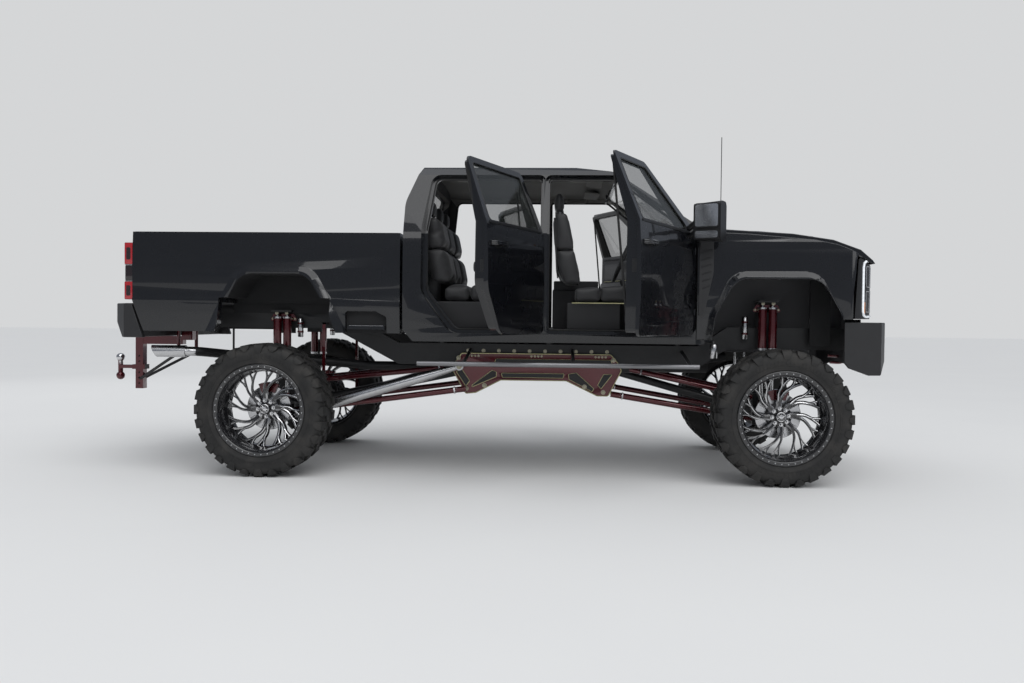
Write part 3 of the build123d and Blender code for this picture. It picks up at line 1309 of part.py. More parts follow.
# Side steps of thin tube
STEP_Y, STEP_Z, STEP_R = 1110, 905, 19
with BuildPart() as side_steps:
    for side in (-1, 1):
        rod((REAR_X + 1230, side * STEP_Y, STEP_Z), (FRONT_X - 640, side * STEP_Y, STEP_Z), STEP_R)
        for x in (REAR_X + 1592, REAR_X + 2450, FRONT_X - 700):
            rod((x, side * (RAIL_OUT_Y + FIT), 1000), (x, side * STEP_Y, STEP_Z), 14)
    add(frame_rails.part, mode=Mode.SUBTRACT)
side_steps.part.label = "side_steps"
export_step(side_steps.part, "parts/side_steps.step")

# Engine, gearbox and shafts
with BuildPart() as engine:
    block((FRONT_X - 420, -310, 1000), (FRONT_X + 400, 310, 1700))
    for side in (-1, 1):
        low_y, high_y = sorted((side * 300, side * (RAIL_OUT_Y - RAIL_W - FIT)))
        block((FRONT_X - 190, low_y, 1060), (FRONT_X - 110, high_y, 1140))
engine.part.label = "engine_block"
export_step(engine.part, "parts/engine_block.step")

GEARBOX_BACK_X = REAR_X + 2060
with BuildPart() as driveline:
    rod((GEARBOX_BACK_X, 0, GEARBOX_Z), (FRONT_X - 420 - FIT, 0, GEARBOX_Z), GEARBOX_R)
    rod((REAR_X + 300 + FIT, 0, TYRE_R + 20), (GEARBOX_BACK_X + 10, 0, GEARBOX_Z), 42)
    block((GEARBOX_BACK_X + 280, -210, 850), (GEARBOX_BACK_X + 480, -60, 990))
    rod(
        (FRONT_X - 290 - FIT, FRONT_DIFF_Y, TYRE_R + 31),
        (GEARBOX_BACK_X + 470, FRONT_DIFF_Y, 900), 34,
    )
    add(rear_axle.part, mode=Mode.SUBTRACT)
    add(front_axle.part, mode=Mode.SUBTRACT)
driveline.part.label = "driveline"
export_step(driveline.part, "parts/driveline.step")

with BuildPart() as fuel_tank:
    block(
        (REAR_X + 1340, 190, 800), (REAR_X + 2180, RAIL_OUT_Y - RAIL_W - FIT, 1040)
    )
fuel_tank.part.label = "fuel_tank"
export_step(fuel_tank.part, "parts/fuel_tank.step")

# Exhaust: pipe beside the gearbox, over the rear axle to a slash-cut tip
PIPE_R, TIP_R = 38, 49
EXHAUST_ROUTE = (
    (FRONT_X - 300, -250, 960), (FRONT_X - 1100, -300, 845), (REAR_X + 700, -300, 845),
    (REAR_X + 200, -300, 880), (REAR_X - 380, -300, 910), (REAR_X - 640, -820, 967),
    (REAR_X - 1009, -850, 967),
)
with BuildPart() as exhaust:
    with BuildLine() as pipe_path:
        FilletPolyline(*EXHAUST_ROUTE, radius=110)
    with BuildSketch(Plane(origin=pipe_path.line @ 0, z_dir=pipe_path.line % 0)) as bore:
        Circle(PIPE_R)
    sweep(bore.sketch, path=pipe_path.line)
    rod((REAR_X - 730, -827, 967), (REAR_X - 1012, -850, 967), TIP_R)
    # Slash cut of the tip
    slab(
        Plane.XZ.offset(700),
        [(REAR_X - 1060, 900), (REAR_X - 955, 900), (REAR_X - 1015, 1030), (REAR_X - 1060, 1030)],
        400,
        mode=Mode.SUBTRACT,
    )
    rod((REAR_X - 463, -RAIL_MID_Y, 925), (REAR_X - 463, -RAIL_MID_Y, 1165 - FIT), 9)
exhaust.part.label = "exhaust"
export_step(exhaust.part, "parts/exhaust.step")

# Drop hitch: receiver tube, drilled plate and a slider with its balls
HITCH_HOLE_R = 9
HITCH_HOLE_Z = (640, 690, 740, 840, 890)
with BuildPart() as drop_hitch:
    block((REAR_X - 1500, -38, 1000), (REAR_X - 1090, 38, 1076))
    block((REAR_X - 1100, -40, 1040), (REAR_X - 1000, 40, 1195 - FIT))
    block((REAR_X - 1530, -40, 593), (REAR_X - 1460, 40, 1076))
    block((REAR_X - 1560, -46, 770), (REAR_X - 1440, 46, 812))
    block((REAR_X - 1690, -30, 776), (REAR_X - 1540, 30, 806))
    with Locations((REAR_X - 1727 + 38, 0, 791)):
        Cylinder(22, 130)
    for z in (791 + 84, 791 - 84):
        with Locations((REAR_X - REAR_OVERHANG + 38, 0, z)):
            Sphere(38)
    for z in HITCH_HOLE_Z:
        with Locations(Plane((REAR_X - 1495, 0, z), z_dir=(0, 1, 0))):
            Cylinder(HITCH_HOLE_R, 120, mode=Mode.SUBTRACT)
    for side in (-1, 1):
        rod((REAR_X - 1490, side * 30, 680), (REAR_X - 1060, side * 200, 930), 13)
        rod((REAR_X - 1060, side * 200, 920), (REAR_X - 1060, side * 200, 1195 - FIT), 16)
drop_hitch.part.label = "drop_hitch"
export_step(drop_hitch.part, "parts/drop_hitch.step")

# Dress pieces of the fenders
def side_skin(x_low, x_high, low_z, high_z, proud, sunk):
    """Right-hand strip of skin between two offsets from the body's side."""
    with BuildSketch(Plane.YZ.offset(x_low)) as face:
        with BuildLine():
            outer = ThreePointArc(
                (-SILL_Y - proud, SILL_Z), (-WAIST_Y - proud, WAIST_Z), (-BELT_Y - proud, BELT_Z)
            )
            Line(outer @ 1, (sunk - BELT_Y, BELT_Z))
            inner = ThreePointArc(
                (sunk - BELT_Y, BELT_Z), (sunk - WAIST_Y, WAIST_Z), (sunk - SILL_Y, SILL_Z)
            )
            Line(inner @ 1, outer @ 0)
        make_face()
    extrude(face.sketch, amount=x_high - x_low)


VENT = [
    (FRONT_DOOR_X + 20, 1895), (FRONT_DOOR_X + 130, 1895), (FRONT_DOOR_X + 130, 1640),
    (FRONT_DOOR_X + 60, 1300), (FRONT_DOOR_X + 20, 1300),
]
with BuildPart() as vent_half:
    side_skin(FRONT_DOOR_X, FRONT_DOOR_X + 200, 1200, 1900, 12, -2)
    prism(Plane.XZ, VENT, BIG, radius=8, mode=Mode.INTERSECT)
with BuildPart() as fender_vents:
    add(vent_half.part)
    add(vent_half.part.mirror(Plane.XZ))
fender_vents.part.label = "fender_vents"
export_step(fender_vents.part, "parts/fender_vents.step")

ANTENNA_TOP_Z = 2697
with BuildPart() as antenna:
    with Locations((FRONT_X - 470, -948, 1968)):
        Cone(16, 6, 30)
    rod((FRONT_X - 470, -948, 1975), (FRONT_X - 470, -948, ANTENNA_TOP_Z), 3)
antenna.part.label = "antenna"
export_step(antenna.part, "parts/antenna.step")

# Interior
DASH_X = CAB_FRONT_X - FIREWALL_T - FIT
FLOOR_Z = CAB_FLOOR_Z + FIT
with BuildPart() as dashboard:
    prism(
        Plane.XZ,
        [
            (DASH_X, 1560), (DASH_X, 1890), (DASH_X - 330, 1890), (DASH_X - 400, 1840),
            (DASH_X - 380, 1660), (DASH_X - 300, 1560),
        ],
        840,
        radius=25,
    )
dashboard.part.label = "dashboard"
export_step(dashboard.part, "parts/dashboard.step")

WHEEL_X, WHEEL_Y, WHEEL_Z = DASH_X - 520, 390, 1800
with BuildPart() as wheel_ring:
    with BuildSketch(Plane.XZ):
        with Locations((188, 0)):
            RegularPolygon(16, 8, rotation=22.5)
    revolve(axis=Axis.Z)
with BuildPart() as steering_wheel:
    rim_plane = Plane(origin=(WHEEL_X, WHEEL_Y, WHEEL_Z), z_dir=(-1, 0, 0.42))
    add(wheel_ring.part.moved(rim_plane.location))
    with Locations(rim_plane):
        Cylinder(52, 34)
    with Locations(rim_plane):
        Box(376, 44, 14)
    rod(
        (WHEEL_X, WHEEL_Y, WHEEL_Z),
        (WHEEL_X + 165, WHEEL_Y, WHEEL_Z - 69), 34,
    )
    add(dashboard.part, mode=Mode.SUBTRACT)
steering_wheel.part.label = "steering_wheel"
export_step(steering_wheel.part, "parts/steering_wheel.step")

SEAT_TOP_Z = 1560
with BuildPart() as console:
    block((DASH_X - 1150, -150, FLOOR_Z), (DASH_X - 400, 150, 1520))
    block((DASH_X - 1140, -140, 1515), (DASH_X - 750, 140, 1600))
console.part.label = "console"
export_step(console.part, "parts/console.step")

SEAT_X = FRONT_DOOR_BACK_X + 120
SEAT_Y, SEAT_HALF_W = 430, 255
BENCH_X = CAB_REAR_X + CAB_BACK_T + 75
with BuildPart() as seat_bases:
    for side in (-1, 1):
        block(
            (SEAT_X + 60, side * SEAT_Y - 200, FLOOR_Z), (SEAT_X + 500, side * SEAT_Y + 200, 1400)
        )
    block((BENCH_X + 60, -720, FLOOR_Z), (BENCH_X + 520, 720, 1400))
seat_bases.part.label = "seat_bases"
export_step(seat_bases.part, "parts/seat_bases.step")


def seat(x, half_w, middle_y, top_z):
    """Cushion and reclined back seen from the side, with its head restraint."""
    base = 1400 + FIT
    prism_plane = Plane.XZ.offset(-middle_y)
    prism(
        prism_plane,
        [
            (x + 90, base), (x + 540, base), (x + 570, SEAT_TOP_Z), (x + 190, SEAT_TOP_Z - 25),
            (x + 60, top_z), (x - 60, top_z), (x - 30, 1700),
        ],
        half_w,
        radius=22,
    )


with BuildPart() as front_seats:
    for side in (-1, 1):
        seat(SEAT_X, SEAT_HALF_W, side * SEAT_Y, 2150)
        block(
            (SEAT_X - 70, side * SEAT_Y - 130, 2140), (SEAT_X + 30, side * SEAT_Y + 130, 2330)
        )
front_seats.part.label = "front_seats"
export_step(front_seats.part, "parts/front_seats.step")

with BuildPart() as rear_bench:
    seat(BENCH_X + 35, 730, 0, 2110)
    for y in (-450, 0, 450):
        block((BENCH_X - 20, y - 110, 2100), (BENCH_X + 70, y + 110, 2260))
rear_bench.part.label = "rear_bench"
export_step(rear_bench.part, "parts/rear_bench.step")
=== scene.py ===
import json
import math

import bmesh
import bpy
from mathutils import Matrix, Vector
from mathutils.bvhtree import BVHTree

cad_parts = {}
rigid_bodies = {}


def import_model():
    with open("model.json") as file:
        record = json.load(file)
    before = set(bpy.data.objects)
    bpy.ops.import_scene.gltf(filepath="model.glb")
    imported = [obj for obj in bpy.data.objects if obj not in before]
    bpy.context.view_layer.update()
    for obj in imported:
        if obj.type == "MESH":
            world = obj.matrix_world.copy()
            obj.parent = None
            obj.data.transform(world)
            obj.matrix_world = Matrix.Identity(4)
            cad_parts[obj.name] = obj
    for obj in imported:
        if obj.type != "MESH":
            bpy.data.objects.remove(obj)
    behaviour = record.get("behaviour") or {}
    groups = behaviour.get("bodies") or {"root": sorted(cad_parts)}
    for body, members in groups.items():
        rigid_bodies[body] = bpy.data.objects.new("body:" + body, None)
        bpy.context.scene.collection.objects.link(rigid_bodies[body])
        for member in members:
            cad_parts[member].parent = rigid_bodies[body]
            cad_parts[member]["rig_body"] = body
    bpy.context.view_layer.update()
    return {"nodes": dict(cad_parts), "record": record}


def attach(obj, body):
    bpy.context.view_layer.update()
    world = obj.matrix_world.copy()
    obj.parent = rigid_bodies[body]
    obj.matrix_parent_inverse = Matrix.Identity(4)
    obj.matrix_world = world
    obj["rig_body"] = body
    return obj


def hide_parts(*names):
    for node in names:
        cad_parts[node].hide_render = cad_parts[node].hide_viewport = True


# Lifted crew-cab pickup truck: finishes, seats, wheels, trim, cabin and chassis detail round the solids.
# Metres. +X is forward, +Y is the left side, +Z is up, and the tyres stand on Z = 0.

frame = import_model()
NODES = frame["nodes"]

# Stations shared with the solids
REAR_X, FRONT_X = -1.622, 2.437
TYRE_R, TYRE_Y, TYRE_HALF = 0.524, 1.022, 0.1975
CAB_REAR_X, CAB_FRONT_X = -0.529, 1.858
FRONT_DOOR_X, FRONT_DOOR_BACK_X = 1.778, 0.596
REAR_DOOR_X, REAR_DOOR_BACK_X = 0.590, -0.379
BED_FRONT_X = -0.551
HEADER_X, HEADER_Z = 1.133, 2.462
BED_FLOOR_Z, BED_RAIL_Z = 1.405, 1.932
SILL_Y, WAIST_Y, BELT_Y, RAIL_Y = 0.992, 1.016, 1.000, 0.800
SILL_Z, WAIST_Z, BELT_Z, RAIL_Z = 1.075, 1.500, 1.940, 2.425
RAIL_OUT_Y = 0.505
FRONT_OPEN, REAR_OPEN = math.radians(64), math.radians(67.5)
HINGE_Y = 1.004
FRONT_HINGE_X, REAR_HINGE_X = FRONT_DOOR_X - 0.012, REAR_DOOR_X - 0.012
SIDES = (("right", -1), ("left", 1))
AXLES = (("front", FRONT_X), ("rear", REAR_X))

# Stations of the pieces made here
MERGE = 0.00002
LINING = (0.100, 0.044)
SEAL_DEPTHS = (0.105, 0.049)
HANDLE_Z = 1.790
WINDOW_LOW_Z, WINDOW_TOP_Z = 1.948, 2.370
DOOR_LOW_Z, DOOR_TOP_Z = 1.148, 2.418
SEAT_X, SEAT_Y, BENCH_X = 0.716, 0.430, -0.357
DASH_X = 1.3985
SHOCK_Y, SPRING_Y = 0.590, 0.467
PHOTO_WIDTH, PHOTO_FOCAL, FILM_WIDTH = 1024, 925.1, 36.0


# Shader arithmetic
class Value:
    """A shader socket that takes part in plain arithmetic."""

    def __init__(self, finish, socket):
        self.finish, self.socket = finish, socket

    def calc(self, operation, first, second):
        return self.finish.node("Math", {"operation": operation}, {0: first, 1: second})

    def __add__(self, other):
        return self.calc("ADD", self, other)

    def __sub__(self, other):
        return self.calc("SUBTRACT", self, other)

    def __rsub__(self, other):
        return self.calc("SUBTRACT", other, self)

    def __mul__(self, other):
        return self.calc("MULTIPLY", self, other)

    __radd__ = __add__
    __rmul__ = __mul__

    def sine(self):
        return self.calc("SINE", self, 0)


class Finish:
    """A procedural material, built from the object's own coordinates."""

    def __init__(self, name, colour=(0.5, 0.5, 0.5), rough=0.5, metal=0.0, **constants):
        self.material = bpy.data.materials.new(name)
        self.material.use_nodes = True
        self.tree = self.material.node_tree
        self.tree.nodes.clear()
        self.shader = self.tree.nodes.new("ShaderNodeBsdfPrincipled")
        end = self.tree.nodes.new("ShaderNodeOutputMaterial")
        self.tree.links.new(self.shader.outputs[0], end.inputs[0])
        self.place = self.node("TexCoord", {}, {}, "Object")
        self.set("Base Color", colour)
        self.set("Roughness", rough)
        self.set("Metallic", metal)
        for key, value in constants.items():
            self.set(key.replace("_", " "), value)

    def feed(self, socket, value):
        if isinstance(value, Value):
            self.tree.links.new(value.socket, socket)
        elif isinstance(value, tuple) and len(value) == 3 and socket.type == "RGBA":
            socket.default_value = (*value, 1.0)
        else:
            socket.default_value = value

    def set(self, name, value):
        self.feed(self.shader.inputs[name], value)

    def node(self, kind, settings, sockets, output=0):
        made = self.tree.nodes.new("ShaderNode" + kind)
        for key, value in settings.items():
            if key == "stops":
                while len(made.color_ramp.elements) < len(value):
                    made.color_ramp.elements.new(0.5)
                for element, (at, colour) in zip(made.color_ramp.elements, value):
                    element.position = at
                    element.color = (*colour, 1.0)
            else:
                setattr(made, key, value)
        for key, value in sockets.items():
            self.feed(made.inputs[key], value)
        return Value(self, made.outputs[output])

    def axes(self):
        split = self.node("SeparateXYZ", {}, {0: self.place})
        return [Value(self, out) for out in split.socket.node.outputs]

    def noise(self, scale, detail=3.0, rough=0.5, stretch=None):
        place = self.place
        if stretch:
            place = self.node("VectorMath", {"operation": "MULTIPLY"}, {0: place, 1: stretch})
        return self.node(
            "TexNoise", {}, {"Vector": place, "Scale": scale, "Detail": detail, "Roughness": rough}, "Fac"
        )

    def cells(self, scale, feature="F1", output="Distance"):
        return self.node(
            "TexVoronoi", {"feature": feature}, {"Vector": self.place, "Scale": scale}, output
        )

    def mix(self, mask, first, second):
        return self.node("Mix", {"data_type": "RGBA"}, {0: mask, 6: first, 7: second}, 2)

    def step(self, value, low, high, to_low=0.0, to_high=1.0):
        return self.node(
            "MapRange", {"interpolation_type": "SMOOTHSTEP"},
            {"Value": value, "From Min": low, "From Max": high, "To Min": to_low, "To Max": to_high},
        )

    def bump(self, height, strength=0.3, distance=0.001):
        normal = self.node(
            "Bump", {}, {"Height": height, "Strength": strength, "Distance": distance}, "Normal"
        )
        self.set("Normal", normal)
        return self


def dusty(finish, colour, dust, amount, low_z=0.3, high_z=1.3):
    """Colour with road dust that fades out with height and breaks up in patches."""
    height = finish.axes()[2]
    fade = finish.step(height, low_z, high_z, 1.0, 0.15)
    patches = finish.step(finish.noise(9.0, 5.0, 0.65), 0.42, 0.72)
    mask = fade * patches * amount
    finish.set("Base Color", finish.mix(mask, colour, dust))
    return mask


def make_paint():
    paint = Finish(
        "gloss_black_paint", rough=0.3, Specular_IOR_Level=0.2, Coat_Weight=1.0, Coat_Roughness=0.03
    )
    mask = dusty(paint, (0.0045, 0.0050, 0.0068), (0.04, 0.038, 0.036), 0.10, 0.9, 1.6)
    paint.set("Roughness", mask * 0.5 + paint.noise(3.0, 2.0) * 0.06 + 0.24)
    ripple = paint.noise(55.0, 2.0, 0.5)
    return paint.bump(ripple, 0.02, 0.002)


def make_satin(name, colour, rough, grain=900.0, strength=0.12, dust=0.2):
    satin = Finish(name, rough=rough)
    mask = dusty(satin, colour, tuple(c + 0.04 for c in colour), dust)
    satin.set("Roughness", mask * 0.3 + satin.noise(14.0, 3.0) * 0.1 + (rough - 0.05))
    return satin.bump(satin.noise(grain, 2.0, 0.6), strength, 0.0006)


def make_glass(name, colour, alpha):
    glass = Finish(name, rough=0.02, Specular_IOR_Level=0.5, Coat_Weight=0.5, Coat_Roughness=0.02)
    smear = glass.noise(4.0, 4.0, 0.6)
    glass.set("Base Color", glass.mix(smear, colour, tuple(c * 1.5 + 0.004 for c in colour)))
    glass.set("Roughness", smear * 0.05 + 0.01)
    glass.set("Alpha", smear * 0.05 + (alpha - 0.025))
    return glass


def make_metal(name, colour, rough, brush=(1.0, 1.0, 1.0), scale=260.0, tint=0.12):
    metal = Finish(name, metal=1.0, rough=rough)
    lines = metal.noise(scale, 4.0, 0.6, brush)
    cloud = metal.noise(8.0, 4.0, 0.6)
    dark = tuple(c * (1 - 2 * tint) for c in colour)
    metal.set("Base Color", metal.mix(cloud, dark, colour))
    metal.set("Roughness", lines * 0.18 + cloud * 0.1 + (rough - 0.13))
    return metal.bump(lines, 0.05, 0.0005)


def make_candy():
    candy = Finish("dark_red_paint", rough=0.2, metal=0.55, Coat_Weight=0.9, Coat_Roughness=0.04)
    flake = candy.cells(1400.0)
    mask = dusty(candy, (0.085, 0.0035, 0.008), (0.06, 0.04, 0.035), 0.3, 0.3, 1.1)
    candy.set("Roughness", flake * 0.12 + mask * 0.4 + 0.16)
    return candy.bump(candy.noise(70.0, 3.0), 0.03, 0.001)


def make_rubber():
    rubber = Finish("tyre_rubber", rough=0.8)
    fine = rubber.noise(320.0, 4.0, 0.65)
    cloud = rubber.noise(7.0, 5.0, 0.62)
    dust = rubber.step(cloud, 0.38, 0.72)
    rubber.set("Base Color", rubber.mix(dust, (0.0115, 0.0113, 0.0112), (0.034, 0.032, 0.030)))
    rubber.set("Roughness", dust * 0.18 + fine * 0.12 + 0.62)
    return rubber.bump(fine, 0.25, 0.0012)


def make_leather():
    leather = Finish("seat_leather", rough=0.5, Sheen_Weight=0.12, Sheen_Roughness=0.5)
    cells = leather.cells(240.0, "DISTANCE_TO_EDGE")
    cloud = leather.noise(10.0, 4.0)
    leather.set("Base Color", leather.mix(cloud, (0.018, 0.0185, 0.020), (0.036, 0.036, 0.038)))
    leather.set("Roughness", leather.step(cells, 0.0, 0.2, 0.62, 0.42))
    return leather.bump(leather.step(cells, 0.0, 0.12) + leather.noise(600.0, 2.0) * 0.2, 0.28, 0.0008)


def make_carpet():
    carpet = Finish("cabin_carpet", rough=0.95, Sheen_Weight=0.3)
    tufts = carpet.noise(520.0, 4.0, 0.7)
    carpet.set("Base Color", carpet.mix(tufts, (0.010, 0.010, 0.011), (0.045, 0.044, 0.045)))
    return carpet.bump(tufts, 0.8, 0.003)


def make_lamp(name, colour, rough, glow=0.0):
    lamp = Finish(name, rough=rough, Coat_Weight=1.0, Coat_Roughness=0.02)
    across, height = lamp.axes()[1:]
    ribs = ((height * 620.0).sine() * 0.5 + 0.5) * ((across * 620.0).sine() * 0.5 + 0.5)
    deep = tuple(c * 0.55 for c in colour)
    lamp.set("Base Color", lamp.mix(ribs, deep, colour))
    lamp.set("Roughness", ribs * 0.1 + rough)
    if glow:
        lamp.set("Emission Strength", glow)
        lamp.set("Emission Color", lamp.mix(ribs, deep, colour))
    return lamp.bump(ribs, 0.2, 0.001)


def make_clear(name, colour, alpha):
    clear = Finish(name, rough=0.03, Coat_Weight=1.0, Coat_Roughness=0.01)
    haze = clear.noise(12.0, 4.0)
    clear.set("Base Color", clear.mix(haze, colour, tuple(c * 1.2 for c in colour)))
    clear.set("Alpha", haze * 0.06 + (alpha - 0.03))
    return clear


def make_webbing():
    webbing = Finish("belt_webbing", rough=0.7, Sheen_Weight=0.2)
    height = webbing.axes()[2]
    weave = (height * 2600.0).sine() * 0.5 + 0.5
    webbing.set("Base Color", webbing.mix(weave, (0.012, 0.012, 0.013), (0.035, 0.035, 0.037)))
    return webbing.bump(weave, 0.5, 0.0008)


FINISHES = {
    "paint": make_paint(),
    "satin": make_satin("satin_black", (0.016, 0.016, 0.0175), 0.48),
    "trim": make_satin("window_trim_black", (0.010, 0.010, 0.011), 0.34, 700.0, 0.06, 0.05),
    "seal": make_satin("rubber_seal", (0.012, 0.012, 0.012), 0.75, 500.0, 0.2, 0.1),
    "liner": make_satin("bed_liner", (0.020, 0.020, 0.021), 0.8, 260.0, 0.9, 0.35),
    "arch": make_satin("arch_liner", (0.014, 0.014, 0.015), 0.85, 180.0, 0.6, 0.4),
    "glass": make_glass("window_glass", (0.020, 0.023, 0.022), 0.42),
    "dark_glass": make_glass("privacy_glass", (0.008, 0.009, 0.009), 0.72),
    "lamp_red": make_lamp("lamp_red", (0.34, 0.008, 0.014), 0.12, 0.25),
    "lamp_smoke": make_lamp("lamp_smoke", (0.020, 0.010, 0.011), 0.1),
    "lamp_white": make_lamp("lamp_white", (0.85, 0.88, 0.92), 0.15, 0.55),
    "lamp_amber": make_lamp("lamp_amber", (0.75, 0.25, 0.02), 0.15, 0.2),
    "lamp_clear": make_clear("lamp_clear", (0.55, 0.57, 0.60), 0.16),
    "plastic": make_satin("interior_plastic", (0.022, 0.022, 0.024), 0.55, 650.0, 0.35, 0.0),
    "panel": make_satin("door_lining", (0.030, 0.030, 0.032), 0.6, 480.0, 0.45, 0.0),
    "headliner": make_satin("headliner", (0.23, 0.225, 0.215), 0.9, 420.0, 0.3, 0.0),
    "leather": make_leather(),
    "carpet": make_carpet(),
    "candy": make_candy(),
    "polished": make_metal("polished_steel", (0.66, 0.66, 0.67), 0.24, (0.15, 1.0, 1.0)),
    "milled": make_metal("milled_edge", (0.78, 0.78, 0.79), 0.26, (1.0, 0.3, 1.0), 420.0),
    "chrome": make_metal("bright_plating", (0.80, 0.80, 0.81), 0.14),
    "grey_tube": make_metal("grey_tube", (0.30, 0.30, 0.31), 0.42),
    "zinc": make_metal("zinc_plating", (0.50, 0.47, 0.36), 0.38),
    # bright metal tinted yellow: the tint is a painted reflection of green grass in polished edges, not a
    # gold colour
    "metal_painted_reflection": make_metal("bare_edge", (0.62, 0.60, 0.34), 0.30),
    "chassis": make_satin("chassis_black", (0.014, 0.014, 0.015), 0.42, 160.0, 0.25, 0.45),
    "cast": make_satin("cast_metal", (0.075, 0.075, 0.08), 0.6, 220.0, 0.7, 0.4),
    "rim": Finish("wheel_black", (0.009, 0.009, 0.0105), 0.22, Coat_Weight=1.0, Coat_Roughness=0.03),
    "rubber": make_rubber(),
    "webbing": make_webbing(),
}
rim = FINISHES["rim"]
rim_dust = rim.noise(18.0, 5.0, 0.6)
rim.set("Base Color", rim.mix(rim_dust, (0.006, 0.006, 0.0072), (0.016, 0.016, 0.0175)))
rim.set("Roughness", rim_dust * 0.14 + 0.15)
FINISH = {key: finish.material for key, finish in FINISHES.items()}


# Mesh building
def pick(axis, along, a, b):
    """Point from a place along an axis and two places across it."""
    return {"x": (along, a, b), "y": (a, along, b), "z": (a, b, along)}[axis]


class Form:
    """A mesh in the making: shapes are laid into it, then it is finished as one piece."""

    def __init__(self, *finishes):
        self.bm = bmesh.new()
        self.finishes = list(finishes)
        self.slot = 0

    def use(self, finish):
        """Following shapes take this finish."""
        if finish not in self.finishes:
            self.finishes.append(finish)
        self.slot = self.finishes.index(finish)
        return self

    def mesh(self, points, faces, slots=None):
        made = [self.bm.verts.new(p) for p in points]
        for number, face in enumerate(faces):
            loop = [made[i] for i in face]
            if len(set(loop)) > 2:
                try:
                    skin = self.bm.faces.new(loop)
                except ValueError:
                    continue
                skin.material_index = slots[number] if slots else self.slot

    def prism(self, outline, axis, low, high):
        """Outline across an axis, drawn out from low to high."""
        count = len(outline)
        points = [pick(axis, low, a, b) for a, b in outline] + [pick(axis, high, a, b) for a, b in outline]
        faces = [[i, (i + 1) % count, (i + 1) % count + count, i + count] for i in range(count)]
        faces += [list(range(count)), list(range(count, 2 * count))[::-1]]
        self.mesh(points, faces)
        return self

    def box(self, low, high):
        (x0, y0, z0), (x1, y1, z1) = low, high
        return self.prism([(y0, z0), (y1, z0), (y1, z1), (y0, z1)], "x", x0, x1)

    def loft(self, rings, closed=True, capped=True, slots=None):
        """Skin through rings of equal count; slots give a finish to each strip of the ring."""
        count = len(rings[0])
        points = [p for ring in rings for p in ring]
        faces, given = [], []
        for step in range(len(rings) - 1):
            for i in range(count if closed else count - 1):
                j = (i + 1) % count
                low, high = step * count, (step + 1) * count
                faces.append([low + i, low + j, high + j, high + i])
                given.append(slots[i] if slots else self.slot)
        if capped and closed:
            faces.append(list(range(count))[::-1])
            faces.append([(len(rings) - 1) * count + i for i in range(count)])
            given += [self.slot, self.slot]
        self.mesh(points, faces, given)
        return self

    def tube(self, path, radius, sides=12, ring=False):
        """Round bar along points; radius may be one for each point."""
        path = [Vector(p) for p in path]
        if len(path) < 2:
            return self
        radii = radius if isinstance(radius, (list, tuple)) else [radius] * len(path)
        rings, side = [], None
        for i, point in enumerate(path):
            if ring:
                ahead, behind = path[(i + 1) % len(path)], path[i - 1]
            else:
                ahead, behind = path[min(i + 1, len(path) - 1)], path[max(i - 1, 0)]
            run = (ahead - behind).normalized()
            if side is None:
                side = run.orthogonal().normalized()
            else:
                side = (side - run * side.dot(run)).normalized()
            other = run.cross(side)
            rings.append([
                point + radii[i] * (math.cos(t) * side + math.sin(t) * other)
                for t in (2 * math.pi * k / sides for k in range(sides))
            ])
        if ring:
            rings.append(rings[0])
        return self.loft(rings, capped=not ring)

    def lathe(self, profile, axis, centre, sides=48):
        """Profile of (radius, along) pairs turned round an axis through a centre."""
        rings = []
        for k in range(sides):
            turn = 2 * math.pi * k / sides
            ring = []
            for radius, along in profile:
                place = pick(axis, along, radius * math.cos(turn), radius * math.sin(turn))
                ring.append(Vector(place) + Vector(centre))
            rings.append(ring)
        rings.append(rings[0])
        return self.loft(rings, closed=False)

    def plate(self, points, direction, thick):
        """Plate whose face has these corners, drawn back along a direction."""
        back = Vector(direction).normalized() * thick
        return self.loft([[Vector(q) + back for q in points], [Vector(q) for q in points]])

    def bolt(self, at, direction, radius, height, washer=True):
        """Hexagon head on a washer."""
        direction = Vector(direction).normalized()
        side = direction.orthogonal().normalized()
        other = direction.cross(side)
        at = Vector(at)

        def ring(r, h, count, turn=0.0):
            return [
                at + direction * h + r * (math.cos(t) * side + math.sin(t) * other)
                for t in (turn + 2 * math.pi * k / count for k in range(count))
            ]

        if washer:
            self.loft([ring(1.45 * radius, -0.001, 12), ring(1.45 * radius, 0.22 * height, 12)])
        self.loft([
            ring(radius, 0.0, 6), ring(radius, 0.85 * height, 6), ring(0.82 * radius, height, 6),
        ])
        return self

    def add_mesh(self, mesh, matrix=None):
        """Lay in another mesh, with its own finishes kept by name."""
        table = []
        for material in mesh.materials:
            key = next(k for k, v in FINISH.items() if v == material)
            if key not in self.finishes:
                self.finishes.append(key)
            table.append(self.finishes.index(key))
        matrix = matrix or Matrix.Identity(4)
        points = [matrix @ v.co for v in mesh.vertices]
        flip = matrix.determinant() < 0
        faces = [list(p.vertices)[::-1] if flip else list(p.vertices) for p in mesh.polygons]
        slots = [table[p.material_index] if table else self.slot for p in mesh.polygons]
        self.mesh(points, faces, slots)
        return self

    def to_mesh(self, name, outward=True):
        if outward:
            bmesh.ops.recalc_face_normals(self.bm, faces=self.bm.faces)
        mesh = bpy.data.meshes.new(name)
        self.bm.to_mesh(mesh)
        self.bm.free()
        for key in self.finishes:
            mesh.materials.append(FINISH[key])
        return mesh

    def done(self, name, body, outward=True, **finish):
        """Finish the form as one piece that rides a body."""
        return finish_piece(self.to_mesh(name, outward), name, body, **finish)


